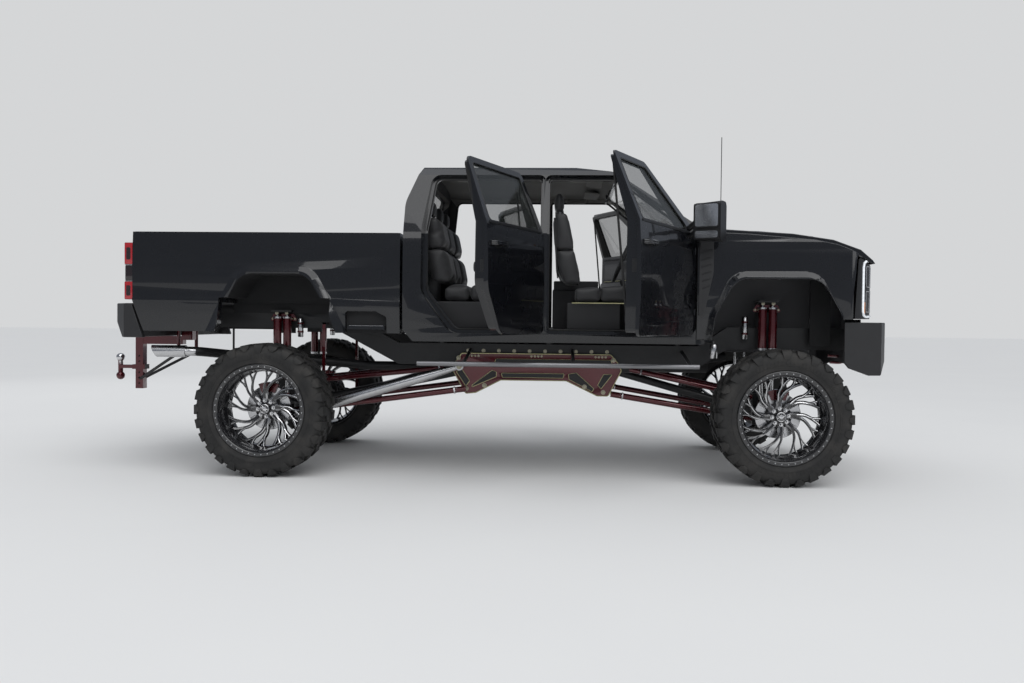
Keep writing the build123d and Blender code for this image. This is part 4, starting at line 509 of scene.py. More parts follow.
def finish_piece(mesh, name, body, bevel=0.0, steps=2, sharp=38, replaces=None, clamp=True):
    """Make an object of a mesh: smooth faces, rounded edges, its body and the solid it stands for."""
    piece = bpy.data.objects.new(name, mesh)
    bpy.context.scene.collection.objects.link(piece)
    mesh.polygons.foreach_set("use_smooth", [True] * len(mesh.polygons))
    mesh.set_sharp_from_angle(angle=math.radians(sharp))
    if bevel:
        edges = piece.modifiers.new("edges", "BEVEL")
        edges.width = bevel
        edges.segments = steps
        edges.limit_method = "ANGLE"
        edges.angle_limit = math.radians(sharp)
        edges.harden_normals = True
        edges.use_clamp_overlap = clamp
        edges.miter_outer = "MITER_ARC"
    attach(piece, body)
    if replaces:
        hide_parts(replaces)
    return piece


def swing(mesh, hinge_x, angle, side):
    """Turn a mesh made for a closed right-hand door into its open place on a side."""
    turn = Matrix.Translation((hinge_x, -HINGE_Y, 0)) @ Matrix.Rotation(angle, 4, "Z")
    turn = turn @ Matrix.Translation((-hinge_x, HINGE_Y, 0))
    if side > 0:
        turn = Matrix.Scale(-1, 4, (0, 1, 0)) @ turn
    copy = mesh.copy()
    copy.transform(turn)
    if side > 0:
        copy.flip_normals()
    return copy


def on_side(mesh, side):
    """A copy of a right-hand mesh for either side."""
    copy = mesh.copy()
    if side > 0:
        copy.transform(Matrix.Scale(-1, 4, (0, 1, 0)))
        copy.flip_normals()
    return copy


def at_wheel(mesh, axle_x, side):
    """A copy, at the centre of a wheel, of a mesh made round the origin for the right side."""
    copy = on_side(mesh, side)
    copy.transform(Matrix.Translation((axle_x, side * TYRE_Y, TYRE_R)))
    return copy


# Repeats by Geometry Nodes
def new_tree(name, inputs):
    tree = bpy.data.node_groups.new(name, "GeometryNodeTree")
    for label, kind in inputs:
        tree.interface.new_socket(label, in_out="INPUT", socket_type="NodeSocket" + kind)
    tree.interface.new_socket("Geometry", in_out="OUTPUT", socket_type="NodeSocketGeometry")
    return tree, tree.nodes.new("NodeGroupInput"), tree.nodes.new("NodeGroupOutput")


def add_node(tree, kind, settings=None, **links):
    """Node with its settings; i0, i1 and so on name its inputs by number."""
    node = tree.nodes.new(kind)
    for key, value in (settings or {}).items():
        setattr(node, key, value)
    for key, value in links.items():
        socket = node.inputs[int(key[1:])]
        if isinstance(value, bpy.types.NodeSocket):
            tree.links.new(value, socket)
        else:
            socket.default_value = value
    return node


def close_tree(tree, end, instances, material):
    real = add_node(tree, "GeometryNodeRealizeInstances", i0=instances)
    dressed = add_node(tree, "GeometryNodeSetMaterial", i0=real.outputs[0], i2=material)
    tree.links.new(dressed.outputs[0], end.inputs[0])


def make_ring_tree():
    """Copies of a form turned round the Y axis."""
    tree, start, end = new_tree(
        "ring_of_copies",
        [("Geometry", "Geometry"), ("Form", "Object"), ("Count", "Int"), ("Start angle", "Float"),
         ("Material", "Material")],
    )
    places = add_node(tree, "GeometryNodePoints", i0=start.outputs["Count"])
    index = add_node(tree, "GeometryNodeInputIndex")
    share = add_node(
        tree, "ShaderNodeMath", {"operation": "DIVIDE"}, i0=index.outputs[0], i1=start.outputs["Count"]
    )
    turn = add_node(
        tree, "ShaderNodeMath", {"operation": "MULTIPLY_ADD"},
        i0=share.outputs[0], i1=2 * math.pi, i2=start.outputs["Start angle"],
    )
    spin = add_node(tree, "ShaderNodeCombineXYZ", i1=turn.outputs[0])
    form = add_node(tree, "GeometryNodeObjectInfo", i0=start.outputs["Form"])
    copies = add_node(
        tree, "GeometryNodeInstanceOnPoints",
        i0=places.outputs[0], i2=form.outputs["Geometry"], i5=spin.outputs[0],
    )
    close_tree(tree, end, copies.outputs[0], start.outputs["Material"])
    return tree


def make_row_tree():
    """Copies of a form in a straight row."""
    tree, start, end = new_tree(
        "row_of_copies",
        [("Geometry", "Geometry"), ("Form", "Object"), ("Count", "Int"), ("First", "Vector"),
         ("Step", "Vector"), ("Material", "Material")],
    )
    line = add_node(
        tree, "GeometryNodeMeshLine",
        i0=start.outputs["Count"], i2=start.outputs["First"], i3=start.outputs["Step"],
    )
    form = add_node(tree, "GeometryNodeObjectInfo", i0=start.outputs["Form"])
    copies = add_node(
        tree, "GeometryNodeInstanceOnPoints", i0=line.outputs[0], i2=form.outputs["Geometry"]
    )
    close_tree(tree, end, copies.outputs[0], start.outputs["Material"])
    return tree


RING_TREE, ROW_TREE = make_ring_tree(), make_row_tree()


def repeat(tree, form_mesh, **inputs):
    """Run a tree on a form and give back a plain mesh."""
    form = bpy.data.objects.new("repeat_form", form_mesh)
    host = bpy.data.objects.new("repeat_host", bpy.data.meshes.new("repeat_host"))
    for made in (form, host):
        bpy.context.scene.collection.objects.link(made)
    modifier = host.modifiers.new("repeat", "NODES")
    modifier.node_group = tree
    names = {s.name: s.identifier for s in tree.interface.items_tree if s.in_out == "INPUT"}
    modifier[names["Form"]] = form
    for key, value in inputs.items():
        modifier[names[key.replace("_", " ")]] = value
    bpy.context.view_layer.update()
    result = bpy.data.meshes.new_from_object(host.evaluated_get(bpy.context.evaluated_depsgraph_get()))
    host.modifiers.remove(modifier)
    for made in (host, form):
        bpy.data.objects.remove(made)
    return result


def ring_of(form, finish, count, start=0.0):
    mesh = form.to_mesh("ring_form")
    return repeat(RING_TREE, mesh, Count=count, Start_angle=start, Material=FINISH[finish])


def row_of(form, finish, count, first, step):
    mesh = form.to_mesh("row_form")
    return repeat(ROW_TREE, mesh, Count=count, First=first, Step=step, Material=FINISH[finish])


# Camera, light and stage
def aim_camera():
    """Camera of the photo, from angles fitted to its wheels and body lines."""
    yaw, pitch, roll = -0.0546, -0.0217, 0.0108
    ahead = Vector((math.sin(yaw), math.cos(yaw), 0))
    right = Vector((math.cos(yaw), -math.sin(yaw), 0))
    up = Vector((0, 0, 1))
    look = ahead * math.cos(pitch) + up * math.sin(pitch)
    over = up * math.cos(pitch) - ahead * math.sin(pitch)
    across = right * math.cos(roll) + over * math.sin(roll)
    top = over * math.cos(roll) - right * math.sin(roll)
    lens = bpy.data.cameras.new("photo_camera")
    lens.sensor_width = FILM_WIDTH
    lens.lens = PHOTO_FOCAL * FILM_WIDTH / PHOTO_WIDTH
    lens.clip_end = 200.0
    camera = bpy.data.objects.new("photo_camera", lens)
    bpy.context.scene.collection.objects.link(camera)
    turn = Matrix((across, top, -look)).transposed().to_4x4()
    camera.matrix_world = Matrix.Translation((0.743, -8.2901, 1.2409)) @ turn
    bpy.context.scene.camera = camera


def light_scene():
    """Pale backdrop, soft sun and four wide panels."""
    world = bpy.data.worlds.new("studio")
    bpy.context.scene.world = world
    world.use_nodes = True
    tree = world.node_tree
    tree.nodes.clear()
    path = tree.nodes.new("ShaderNodeLightPath")
    end = tree.nodes.new("ShaderNodeOutputWorld")

    def shade(colour, strength):
        made = tree.nodes.new("ShaderNodeBackground")
        made.inputs[0].default_value = (*colour, 1)
        made.inputs[1].default_value = strength
        return made.outputs[0]

    def choose(ray, first, second):
        mix = tree.nodes.new("ShaderNodeMixShader")
        tree.links.new(path.outputs[ray], mix.inputs[0])
        tree.links.new(first, mix.inputs[1])
        tree.links.new(second, mix.inputs[2])
        return mix.outputs[0]

    backdrop = shade((0.80, 0.81, 0.82), 0.83)
    fill = shade((0.93, 0.96, 1.0), 0.62)
    mirrored_fill = shade((0.80, 0.87, 1.0), 0.25)
    lit = choose("Is Glossy Ray", fill, mirrored_fill)
    lit = choose("Is Transmission Ray", lit, backdrop)
    tree.links.new(choose("Is Camera Ray", lit, backdrop), end.inputs[0])

    def hold(lamp, place, target):
        holder = bpy.data.objects.new(lamp.name, lamp)
        bpy.context.scene.collection.objects.link(holder)
        run = Vector(target) - Vector(place)
        holder.matrix_world = Matrix.Translation(place) @ run.to_track_quat("-Z", "Y").to_matrix().to_4x4()

    sun = bpy.data.lights.new("soft_sun", "SUN")
    sun.energy, sun.angle = 1.35, math.radians(60)
    hold(sun, (3.0, -6.0, 9.0), (0, 0, 0))
    lamps = (
        # name, place, target, length, height, watts
        ("side_panel", (0.5, -9.5, 6.2), (0.3, 0, 1.3), 9.0, 2.0, 95),
        ("roof_panel", (0.0, 0.0, 9.5), (0, 0, 1.0), 9.0, 7.0, 80),
        ("back_panel", (-8.5, 8.0, 6.5), (0, 0, 1.2), 9.0, 7.0, 70),
        ("nose_panel", (11.0, -5.0, 6.0), (2.0, 0, 1.3), 4.0, 4.0, 55),
    )
    for name, place, target, length, height, watts in lamps:
        lamp = bpy.data.lights.new(name, "AREA")
        lamp.shape, lamp.size, lamp.size_y, lamp.energy = "RECTANGLE", length, height, watts
        hold(lamp, place, target)
    bpy.context.scene.view_settings.view_transform = "Standard"


def lay_floor():
    floor = Finish("pale_floor", rough=0.8, Specular_IOR_Level=0.2)
    cloud = floor.noise(0.6, 4.0)
    floor.set("Base Color", floor.mix(cloud, (0.69, 0.69, 0.69), (0.72, 0.72, 0.715)))
    FINISH["floor"] = floor.material
    form = Form("floor")
    form.mesh([(-90, -90, 0), (90, -90, 0), (90, 90, 0), (-90, 90, 0)], [[0, 1, 2, 3]])
    piece = bpy.data.objects.new("studio_floor", form.to_mesh("studio_floor", outward=False))
    bpy.context.scene.collection.objects.link(piece)


aim_camera()
light_scene()
lay_floor()

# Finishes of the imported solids
NODE_FINISH = {
    "gloss_black_paint": "paint", "satin_black": "satin", "window_glass": "glass", "lamp_red": "lamp_red",
    "lamp_clear": "lamp_clear", "interior_plastic": "plastic", "seat_leather": "leather",
    "dark_red_paint": "candy", "polished_steel": "polished", "grey_tube": "grey_tube",
    "chassis_black": "chassis", "cast_metal": "cast", "wheel_black": "rim", "tyre_rubber": "rubber",
}
NODE_KEY = {e["node"]: NODE_FINISH[e["material_slot"]] for e in frame["record"]["subparts"]}
for name, key in NODE_KEY.items():
    NODES[name].data.materials.clear()
    NODES[name].data.materials.append(FINISH[key])


def copy_solid(node, rule=None, merge=MERGE):
    """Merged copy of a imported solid, flat facets joined; a rule gives finishes by place and direction."""
    bm = bmesh.new()
    bm.from_mesh(NODES[node].data)
    bmesh.ops.remove_doubles(bm, verts=bm.verts, dist=merge)
    keys = [NODE_KEY[node]]
    if rule:
        for face in bm.faces:
            key = rule(face.calc_center_median(), face.normal) or keys[0]
            if key not in keys:
                keys.append(key)
            face.material_index = keys.index(key)
    bmesh.ops.dissolve_limit(
        bm, angle_limit=math.radians(0.12), verts=bm.verts, edges=bm.edges,
        use_dissolve_boundaries=False, delimit={"MATERIAL"},
    )
    mesh = bpy.data.meshes.new(node + "_copy")
    bm.to_mesh(mesh)
    bm.free()
    for key in keys:
        mesh.materials.append(FINISH[key])
    return mesh


def dress(node, bevel, rule=None, steps=2, sharp=30, clamp=True, merge=MERGE):
    """Put a copy with rounded edges in the place of a solid."""
    body = NODES[node]["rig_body"]
    mesh = copy_solid(node, rule, merge)
    return finish_piece(mesh, node + "_dressed", body, bevel, steps, sharp, replaces=node, clamp=clamp)


# Surfaces and outlines of the body, right side
def side_y(z):
    """Half width of the body's outer skin at a height."""
    if z > BELT_Z:
        return BELT_Y - (z - BELT_Z) * (BELT_Y - RAIL_Y) / (RAIL_Z - BELT_Z)
    d = z - WAIST_Z
    return WAIST_Y + 0.010855 * d - 0.10733 * d * d


def wall_y(z, low, high):
    """Half width of a flat lining set in by low at the belt and by high at the rail."""
    if z > BELT_Z:
        t = (z - BELT_Z) / (RAIL_Z - BELT_Z)
        return (BELT_Y - low) * (1 - t) + (RAIL_Y - high) * t
    t = (z - SILL_Z) / (BELT_Z - SILL_Z)
    return (SILL_Y - low) * (1 - t) + (BELT_Y - low) * t


def rounded(points, radii, steps=5):
    """Outline with rounded corners; one radius, or one for each point."""
    count = len(points)
    radii = radii if isinstance(radii, (list, tuple)) else [radii] * count
    made = []
    for i in range(count):
        p, before, after = Vector(points[i]), Vector(points[i - 1]), Vector(points[(i + 1) % count])
        if radii[i] <= 0:
            made.append(tuple(p))
            continue
        a, b = (before - p).normalized(), (after - p).normalized()
        half = a.angle(b) / 2
        reach = min(radii[i] / math.tan(half), 0.49 * (before - p).length, 0.49 * (after - p).length)
        radius = reach * math.tan(half)
        centre = p + (a + b).normalized() * (radius / math.sin(half))
        first, last = p + a * reach - centre, p + b * reach - centre
        for k in range(steps + 1):
            t = k / steps
            made.append(tuple(centre + (first * (1 - t) + last * t).normalized() * radius))
    return made


def plaque(left, low, right, high, radius):
    """Rectangle with rounded corners."""
    return rounded([(left, low), (right, low), (right, high), (left, high)], radius)


def circle(radius, count=24):
    """Places round a circle."""
    angles = (2 * math.pi * k / count for k in range(count))
    return [(radius * math.cos(t), radius * math.sin(t)) for t in angles]


def smooth_path(points, count):
    """Points spaced along a smooth curve through the given ones."""
    made = []
    n = len(points)
    for k in range(count):
        at = k * (n - 1) / (count - 1)
        i = min(int(at), n - 2)
        t = at - i
        near = [points[max(0, min(n - 1, j))] for j in (i - 1, i, i + 1, i + 2)]
        place = []
        for a, b, c, d in zip(*near):
            square, cube = 2 * a - 5 * b + 4 * c - d, 3 * b - a - 3 * c + d
            place.append(0.5 * (2 * b + (c - a) * t + square * t * t + cube * t ** 3))
        made.append(tuple(place))
    return made


DOORS = {
    # outline and radii, window, hinge x, open angle
    "front_door": (
        [(FRONT_DOOR_BACK_X, DOOR_LOW_Z), (FRONT_DOOR_X, DOOR_LOW_Z), (FRONT_DOOR_X, 1.960),
         (1.173, DOOR_TOP_Z), (FRONT_DOOR_BACK_X, DOOR_TOP_Z)],
        (0.048, 0.07, 0.07, 0.09, 0.048),
        [(FRONT_DOOR_BACK_X + 0.062, WINDOW_LOW_Z), (FRONT_DOOR_X - 0.205, WINDOW_LOW_Z),
         (FRONT_DOOR_X - 0.17, 1.985), (1.139, WINDOW_TOP_Z), (FRONT_DOOR_BACK_X + 0.062, WINDOW_TOP_Z)],
        FRONT_HINGE_X, FRONT_OPEN,
    ),
    "rear_door": (
        [(REAR_DOOR_BACK_X + 0.235, DOOR_LOW_Z), (REAR_DOOR_X, DOOR_LOW_Z), (REAR_DOOR_X, DOOR_TOP_Z),
         (REAR_DOOR_BACK_X + 0.062, DOOR_TOP_Z), (REAR_DOOR_BACK_X, 1.98), (REAR_DOOR_BACK_X, 1.468)],
        (0.12, 0.048, 0.048, 0.08, 0.22, 0.17),
        [(REAR_DOOR_BACK_X + 0.058, WINDOW_LOW_Z), (REAR_DOOR_X - 0.062, WINDOW_LOW_Z),
         (REAR_DOOR_X - 0.062, WINDOW_TOP_Z), (REAR_DOOR_BACK_X + 0.112, WINDOW_TOP_Z)],
        REAR_HINGE_X, REAR_OPEN,
    ),
}


def closed_place(point, door, side):
    """Place of a point of an open door when that door is shut, on the right side."""
    hinge_x, angle = DOORS[door][3:]
    x, y = point.x - hinge_x, (point.y if side < 0 else -point.y) + HINGE_Y
    c, s = math.cos(-angle), math.sin(-angle)
    return Vector((hinge_x + c * x - s * y, -HINGE_Y + s * x + c * y, point.z))


# Finishes by the centre c and the direction n of a face
def cab_rule(c, n):
    if n.z < -0.9 and c.z < 1.13:
        return "chassis"
    inner = wall_y(c.z, 0.125, 0.064) + 0.004
    if abs(c.y) > inner or not (1.175 < c.z < 2.485 and CAB_REAR_X + 0.055 < c.x < CAB_FRONT_X - 0.03):
        return None
    if c.z < 1.19 and n.z > 0.9:
        return "carpet"
    if n.z < -0.25 and c.z > 2.3:
        return "headliner"
    return "panel"


def bed_rule(c, n):
    inside = abs(c.y) < 0.833 and c.z > BED_FLOOR_Z - 0.003 and n.z > -0.5 and c.x < BED_FRONT_X - 0.05
    if inside and not (c.z < 1.604 and abs(c.y) > 0.587 and n.z < 0.5 and abs(c.y) < 0.829):
        return "liner" if c.z < BED_RAIL_Z - 0.002 else None
    if abs(c.y) < 0.984 and (n.z < 0.3 or c.z < 1.5) and c.z < 1.64 and abs(n.x) < 0.95:
        return "arch"
    return None


def fender_rule(c, n):
    inward = n.y * c.y < -0.05 or (abs(c.y) < 0.97 and n.z < -0.2) or (n.x < -0.5 and c.x < 2.0)
    return "arch" if inward else None


def door_rule(door, side):
    """Rule of one open door, judged at its closed place: lining inside, seal round the window."""
    window = DOORS[door][2]
    low, high = min(x for x, z in window), max(x for x, z in window)

    def rule(c, n):
        shut = closed_place(c, door, side)
        depth = side_y(shut.z) + shut.y
        turned = closed_place(c + n, door, side) - shut
        if depth > 0.04 and turned.y > 0.7:
            return "panel" if shut.z < BELT_Z + 0.01 else "trim"
        in_window = low - 0.002 < shut.x < high + 0.002 and 1.944 < shut.z < 2.372
        return "seal" if in_window and abs(turned.y) < 0.5 else None

    return rule


def hood_rule(c, n):
    return "chassis" if n.z < -0.4 else None


def exhaust_rule(c, n):
    return "polished" if c.x < -2.27 else None


def bracket_rule(c, n):
    # side faces of the brackets take the metal whose yellow tint is a painted reflection of grass
    if abs(n.y) < 0.5:
        return "metal_painted_reflection"
    return "chassis" if 0.518 < abs(c.y) < 0.529 else None


def shock_rule(c, n):
    for axle_x in (FRONT_X, REAR_X):
        for dx in (-0.058, 0.026) if axle_x == FRONT_X else (-0.042, 0.042):
            if math.hypot(c.x - axle_x - dx, abs(c.y) - SHOCK_Y) < 0.020 and c.z > 0.62:
                return "chrome"
    return None


def hitch_rule(c, n):
    if c.x > -3.08 and c.z < 0.97:
        return "chassis"
    return "chrome" if c.x < -3.268 and abs(c.y) < 0.05 and n.z > -0.6 and c.z > 0.83 else None


dress("cab_shell", 0.005, cab_rule)
dress("load_bed", 0.005, bed_rule, merge=0.0012)
dress("front_fenders", 0.006, fender_rule, clamp=False)
dress("hood", 0.006, hood_rule, clamp=False)
dress("tailgate", 0.006)
dress("front_bumper", 0.007, clamp=False)
dress("rear_bumper", 0.008, clamp=False)
for label, side in SIDES:
    for door in DOORS:
        dress(f"{door}_{label}", 0.003, door_rule(door, side))
for node, width in (
    ("grille", 0.004), ("dashboard", 0.012), ("console", 0.012), ("seat_bases", 0.008),
    ("frame_rails", 0.003), ("rear_axle", 0.003), ("front_axle", 0.003), ("knuckle_right", 0.003),
    ("knuckle_left", 0.003), ("engine_block", 0.008), ("fuel_tank", 0.015), ("radiator", 0.002),
    ("driveline", 0.003), ("tie_rod", 0.001), ("suspension_links", 0.002),
    ("traction_bars", 0.003),
):
    dress(node, width, sharp=34)
dress("exhaust", 0.001, exhaust_rule)
dress("link_brackets", 0.0015, bracket_rule)
dress("shock_absorbers", 0.001, shock_rule)
dress("drop_hitch", 0.003, hitch_rule)


def skin_of(mesh):
    """Surface of a mesh, for laying detail on."""
    points = [v.co.copy() for v in mesh.vertices]
    return BVHTree.FromPolygons(points, [list(p.vertices) for p in mesh.polygons])


def laid(skin, points, direction, lift=0.0, back=0.3):
    """Points carried along a direction on to a surface, then lifted off it."""
    way = Vector(direction).normalized()
    made = []
    for point in points:
        hit = skin.ray_cast(Vector(point) - way * back, way)[0]
        if hit is not None:
            made.append(hit - way * lift)
    return made


def spread(points, step, closed=True):
    """Outline with more points along its long edges."""
    made = []
    for i in range(len(points) if closed else len(points) - 1):
        a, b = Vector(points[i]), Vector(points[(i + 1) % len(points)])
        count = max(1, int((b - a).length / step))
        made += [a.lerp(b, k / count) for k in range(count)]
    if not closed:
        made.append(Vector(points[-1]))
    return made


def even_skin(outline, low, high, edge, voxel):
    """Block with round edges and even small faces."""
    form = Form("leather")
    form.prism(outline, "y", low, high)
    bmesh.ops.recalc_face_normals(form.bm, faces=form.bm.faces)
    bmesh.ops.bevel(form.bm, geom=form.bm.edges[:], offset=edge, segments=3, profile=0.5, affect="EDGES")
    block = bpy.data.objects.new("pad_block", form.to_mesh("pad_block", outward=False))
    bpy.context.scene.collection.objects.link(block)
    remesh = block.modifiers.new("even", "REMESH")
    remesh.mode, remesh.voxel_size = "VOXEL", voxel
    bpy.context.view_layer.update()
    mesh = bpy.data.meshes.new_from_object(block.evaluated_get(bpy.context.evaluated_depsgraph_get()))
    bpy.data.objects.remove(block)
    return mesh


def stuffed(blocks, voxel=0.013, cap=0.024):
    """Closed blocks of (outline, low y, high y) swollen like sewn pads, as one mesh."""
    bm = bmesh.new()
    for outline, low, high in blocks:
        bm.from_mesh(even_skin(outline, low, high, 0.016, voxel))
    mesh = bpy.data.meshes.new("pads")
    bm.to_mesh(mesh)
    bm.free()
    pad = bpy.data.objects.new("pads", mesh)
    bpy.context.scene.collection.objects.link(pad)
    cloth = pad.modifiers.new("swell", "CLOTH")
    cloth.settings.quality = 4
    cloth.settings.mass = 0.3
    cloth.settings.use_pressure = True
    cloth.settings.uniform_pressure_force = 4
    cloth.settings.effector_weights.gravity = 0
    cloth.collision_settings.use_self_collision = False
    cloth.point_cache.frame_start, cloth.point_cache.frame_end = 1, 20
    for frame_number in range(1, 21):
        bpy.context.scene.frame_set(frame_number)
    swollen = bpy.data.meshes.new_from_object(pad.evaluated_get(bpy.context.evaluated_depsgraph_get()))
    pad.modifiers.remove(cloth)
    for before, after in zip(mesh.vertices, swollen.vertices):
        move = after.co - before.co
        before.co += move * min(1.0, cap / max(move.length, 1e-6))
    bpy.context.scene.frame_set(1)
    smooth = pad.modifiers.new("even", "SMOOTH")
    smooth.factor, smooth.iterations = 0.5, 6
    rounder = pad.modifiers.new("rounder", "SUBSURF")
    rounder.levels = rounder.render_levels = 1
    bpy.context.view_layer.update()
    result = bpy.data.meshes.new_from_object(pad.evaluated_get(bpy.context.evaluated_depsgraph_get()))
    bpy.data.objects.remove(pad)
    result.materials.clear()
    result.materials.append(FINISH["leather"])
    return result


def seat_back(low_z, top_z, inset):
    """Outline of a back pad in x and z, measured from the seat's own station."""
    def front(z):
        return 0.19 - 0.13 * (z - 1.535) / 0.615 - inset

    def rear(z):
        lower, upper = 0.09 - 0.12 * (z - 1.40) / 0.30, -0.03 - 0.03 * (z - 1.70) / 0.45
        return (lower if z < 1.70 else upper) + 0.014

    outline = [(rear(low_z), low_z), (front(low_z), low_z), (front(top_z), top_z), (rear(top_z), top_z)]
    return outline + ([(rear(1.70), 1.70)] if low_z < 1.69 else [])


def seat_blocks(spans, top_z):
    """Pads over spans of (low y, high y, drop), cushions first and then backs."""
    blocks = []
    for low, high, drop in spans:
        for x0, x1 in ((0.125, 0.330), (0.336, 0.556)):
            z0, z1 = (1.521 - drop + (x - 0.19) * 0.066 for x in (x0, x1))
            blocks.append(([(x0, 1.414), (x1, 1.414), (x1, z1), (x0, z0)], low, high))
        blocks.append((seat_back(1.556, 1.830, 0.014 + drop), low, high))
        blocks.append((seat_back(1.836, top_z, 0.014 + drop), low, high))
    return blocks


def head_rests(places, half, low_z, high_z):
    outline = [(-0.042, low_z), (0.012, low_z), (0.008, high_z), (-0.038, high_z)]
    return [(outline, y - half, y + half) for y in places]


def upright_seams(form, skin, places, radius):
    """Seams that run up a back at places in y."""
    for y in places:
        rise = [(0.16 - 0.002 * k, y, 1.58 + 0.05 * k) for k in range(11)]
        form.tube(laid(skin, rise, (-1, 0, 0), 0.001), radius, 6)


def cross_seams(form, skin, first_y, step, heights, radius):
    """Seams across a back at heights, and across its cushion."""
    for z in heights:
        row = [(0.15, first_y + step * k, z) for k in range(11)]
        form.tube(laid(skin, row, (-1, 0, 0), -0.0005), radius, 6)
    for x in (0.20, 0.27, 0.40, 0.48):
        row = [(x, first_y + step * k, 1.52) for k in range(11)]
        form.tube(laid(skin, row, (0, 0, -1), -0.0005), radius, 6)


def build_front_seats():
    """Two seats as one piece, with seams, chrome posts of the head rests and hard backs."""
    spans = ((-0.243, -0.164, 0.0), (-0.158, 0.158, 0.014), (0.164, 0.243, 0.0))
    one = stuffed(seat_blocks(spans, 2.134) + head_rests((0.0,), 0.116, 2.158, 2.316))
    skin = skin_of(one)
    form = Form("leather")
    form.use("trim")
    for y in (-0.174, 0.174):
        run = [(0.52 - 0.05 * k, y, 1.50) for k in range(8)]
        form.tube(laid(skin, run, (0, 0, -1), 0.001), 0.0028, 6)
    upright_seams(form, skin, (-0.174, 0.174), 0.0028)
    cross_seams(form, skin, -0.13, 0.026, (1.66, 1.75, 1.92, 2.01, 2.08), 0.0022)
    form.use("chrome")
    for y in (-0.05, 0.05):
        form.tube([(0.0, y, 2.09), (-0.012, y, 2.20)], 0.0065, 10)
    seams = form.to_mesh("seams")
    both = Form("leather")
    for y in (-SEAT_Y, SEAT_Y):
        for mesh in (one, seams):
            both.add_mesh(mesh, Matrix.Translation((SEAT_X, y, 0)))
    both.use("plastic")
    shell = [(SEAT_X - 0.020, 1.66), (SEAT_X - 0.034, 1.66), (SEAT_X - 0.058, 2.10), (SEAT_X - 0.040, 2.10)]
    for y in (-SEAT_Y, SEAT_Y):
        both.prism(rounded(shell, 0.004), "y", y - 0.20, y + 0.20)
    piece = both.done("front_seats_padded", "truck", sharp=60, replaces="front_seats", outward=False)


def build_rear_bench():
    """Three places with seams and head rests."""
    spans = ((-0.716, -0.246, 0.0), (-0.240, 0.240, 0.006), (0.246, 0.716, 0.0))
    rests = head_rests((-0.45, 0.0, 0.45), 0.098, 2.116, 2.246)
    bench = stuffed(seat_blocks(spans, 2.094) + rests, voxel=0.016)
    skin = skin_of(bench)
    form = Form("leather")
    form.add_mesh(bench)
    form.use("trim")
    upright_seams(form, skin, (-0.256, 0.256), 0.003)
    for middle in (-0.48, 0.0, 0.48):
        cross_seams(form, skin, middle - 0.17, 0.034, (1.66, 1.75, 1.92, 2.01), 0.0024)
    mesh = form.to_mesh("bench", outward=False)
    mesh.transform(Matrix.Translation((BENCH_X, 0, 0)))
    piece = finish_piece(mesh, "rear_bench_padded", "truck", sharp=60, replaces="rear_bench")


build_front_seats()
build_rear_bench()


# Lamps and grille
def face_outwards(bm):
    """Turn each part of a mesh so that its faces point out of it."""
    bmesh.ops.recalc_face_normals(bm, faces=bm.faces)
    left = set(bm.faces)
    while left:
        part = [left.pop()]
        for face in part:
            for neighbour in {f for edge in face.edges for f in edge.link_faces if f in left}:
                left.remove(neighbour)
                part.append(neighbour)
        centres = [face.calc_center_median() for face in part]
        middle = sum(centres, Vector()) / len(part)
        volume = sum((c - middle).dot(f.normal) * f.calc_area() for c, f in zip(centres, part))
        if volume < 0:
            bmesh.ops.reverse_faces(bm, faces=part)


WHITE_LINE = [(3.185, 1.738), (3.100, 1.738), (3.078, 1.722), (3.072, 1.690), (3.072, 1.350), (3.080, 1.318),
              (3.100, 1.306), (3.185, 1.306)]


def build_headlamps():
    """Housings with a white line round the rear edge, framed lenses and an amber corner."""
    skin = skin_of(NODES["headlamps"].data)
    form = Form("trim")
    form.add_mesh(copy_solid("headlamps"))
    for material in range(len(form.finishes)):
        if form.finishes[material] == "lamp_clear":
            form.finishes[material] = "trim"
    for side in (-1, 1):
        flank, front = (0, -side, 0), (-1, 0, 0)
        form.use("lamp_white")
        line = spread([(x, side * 0.9, z) for x, z in WHITE_LINE], 0.03, closed=False)
        form.tube(laid(skin, line, flank, 0.002), 0.0105, 8)
        for z in (1.735, 1.309):
            line = [(3.1, side * (0.665 + 0.02 * k), z) for k in range(12)]
            form.tube(laid(skin, line, front, 0.002), 0.0085, 8)
        for low, high in ((1.540, 1.700), (1.345, 1.505)):
            for frame_points, way in (
                ([(3.104, side * 0.9, low), (3.180, side * 0.9, low), (3.180, side * 0.9, high),
                  (3.104, side * 0.9, high)], flank),
                ([(3.1, side * 0.690, low), (3.1, side * 0.860, low), (3.1, side * 0.860, high),
                  (3.1, side * 0.690, high)], front),
            ):
                ring = laid(skin, spread(frame_points, 0.03), way, 0.002)
                form.use("polished")
                form.tube(ring, 0.0042, 8, ring=True)
                form.use("glass")
                middle = sum(ring, Vector()) / len(ring)
                form.plate([middle + (q - middle) * 0.86 for q in ring], way, -0.003)
        form.use("lamp_amber")
        amber = [(3.085, side * 0.9, 1.330), (3.097, side * 0.9, 1.330), (3.097, side * 0.9, 1.420),
                 (3.085, side * 0.9, 1.420)]
        form.plate(laid(skin, amber, flank, 0.002), flank, 0.006)
    face_outwards(form.bm)
    form.done("headlamps_dressed", "truck", replaces="headlamps", outward=False)


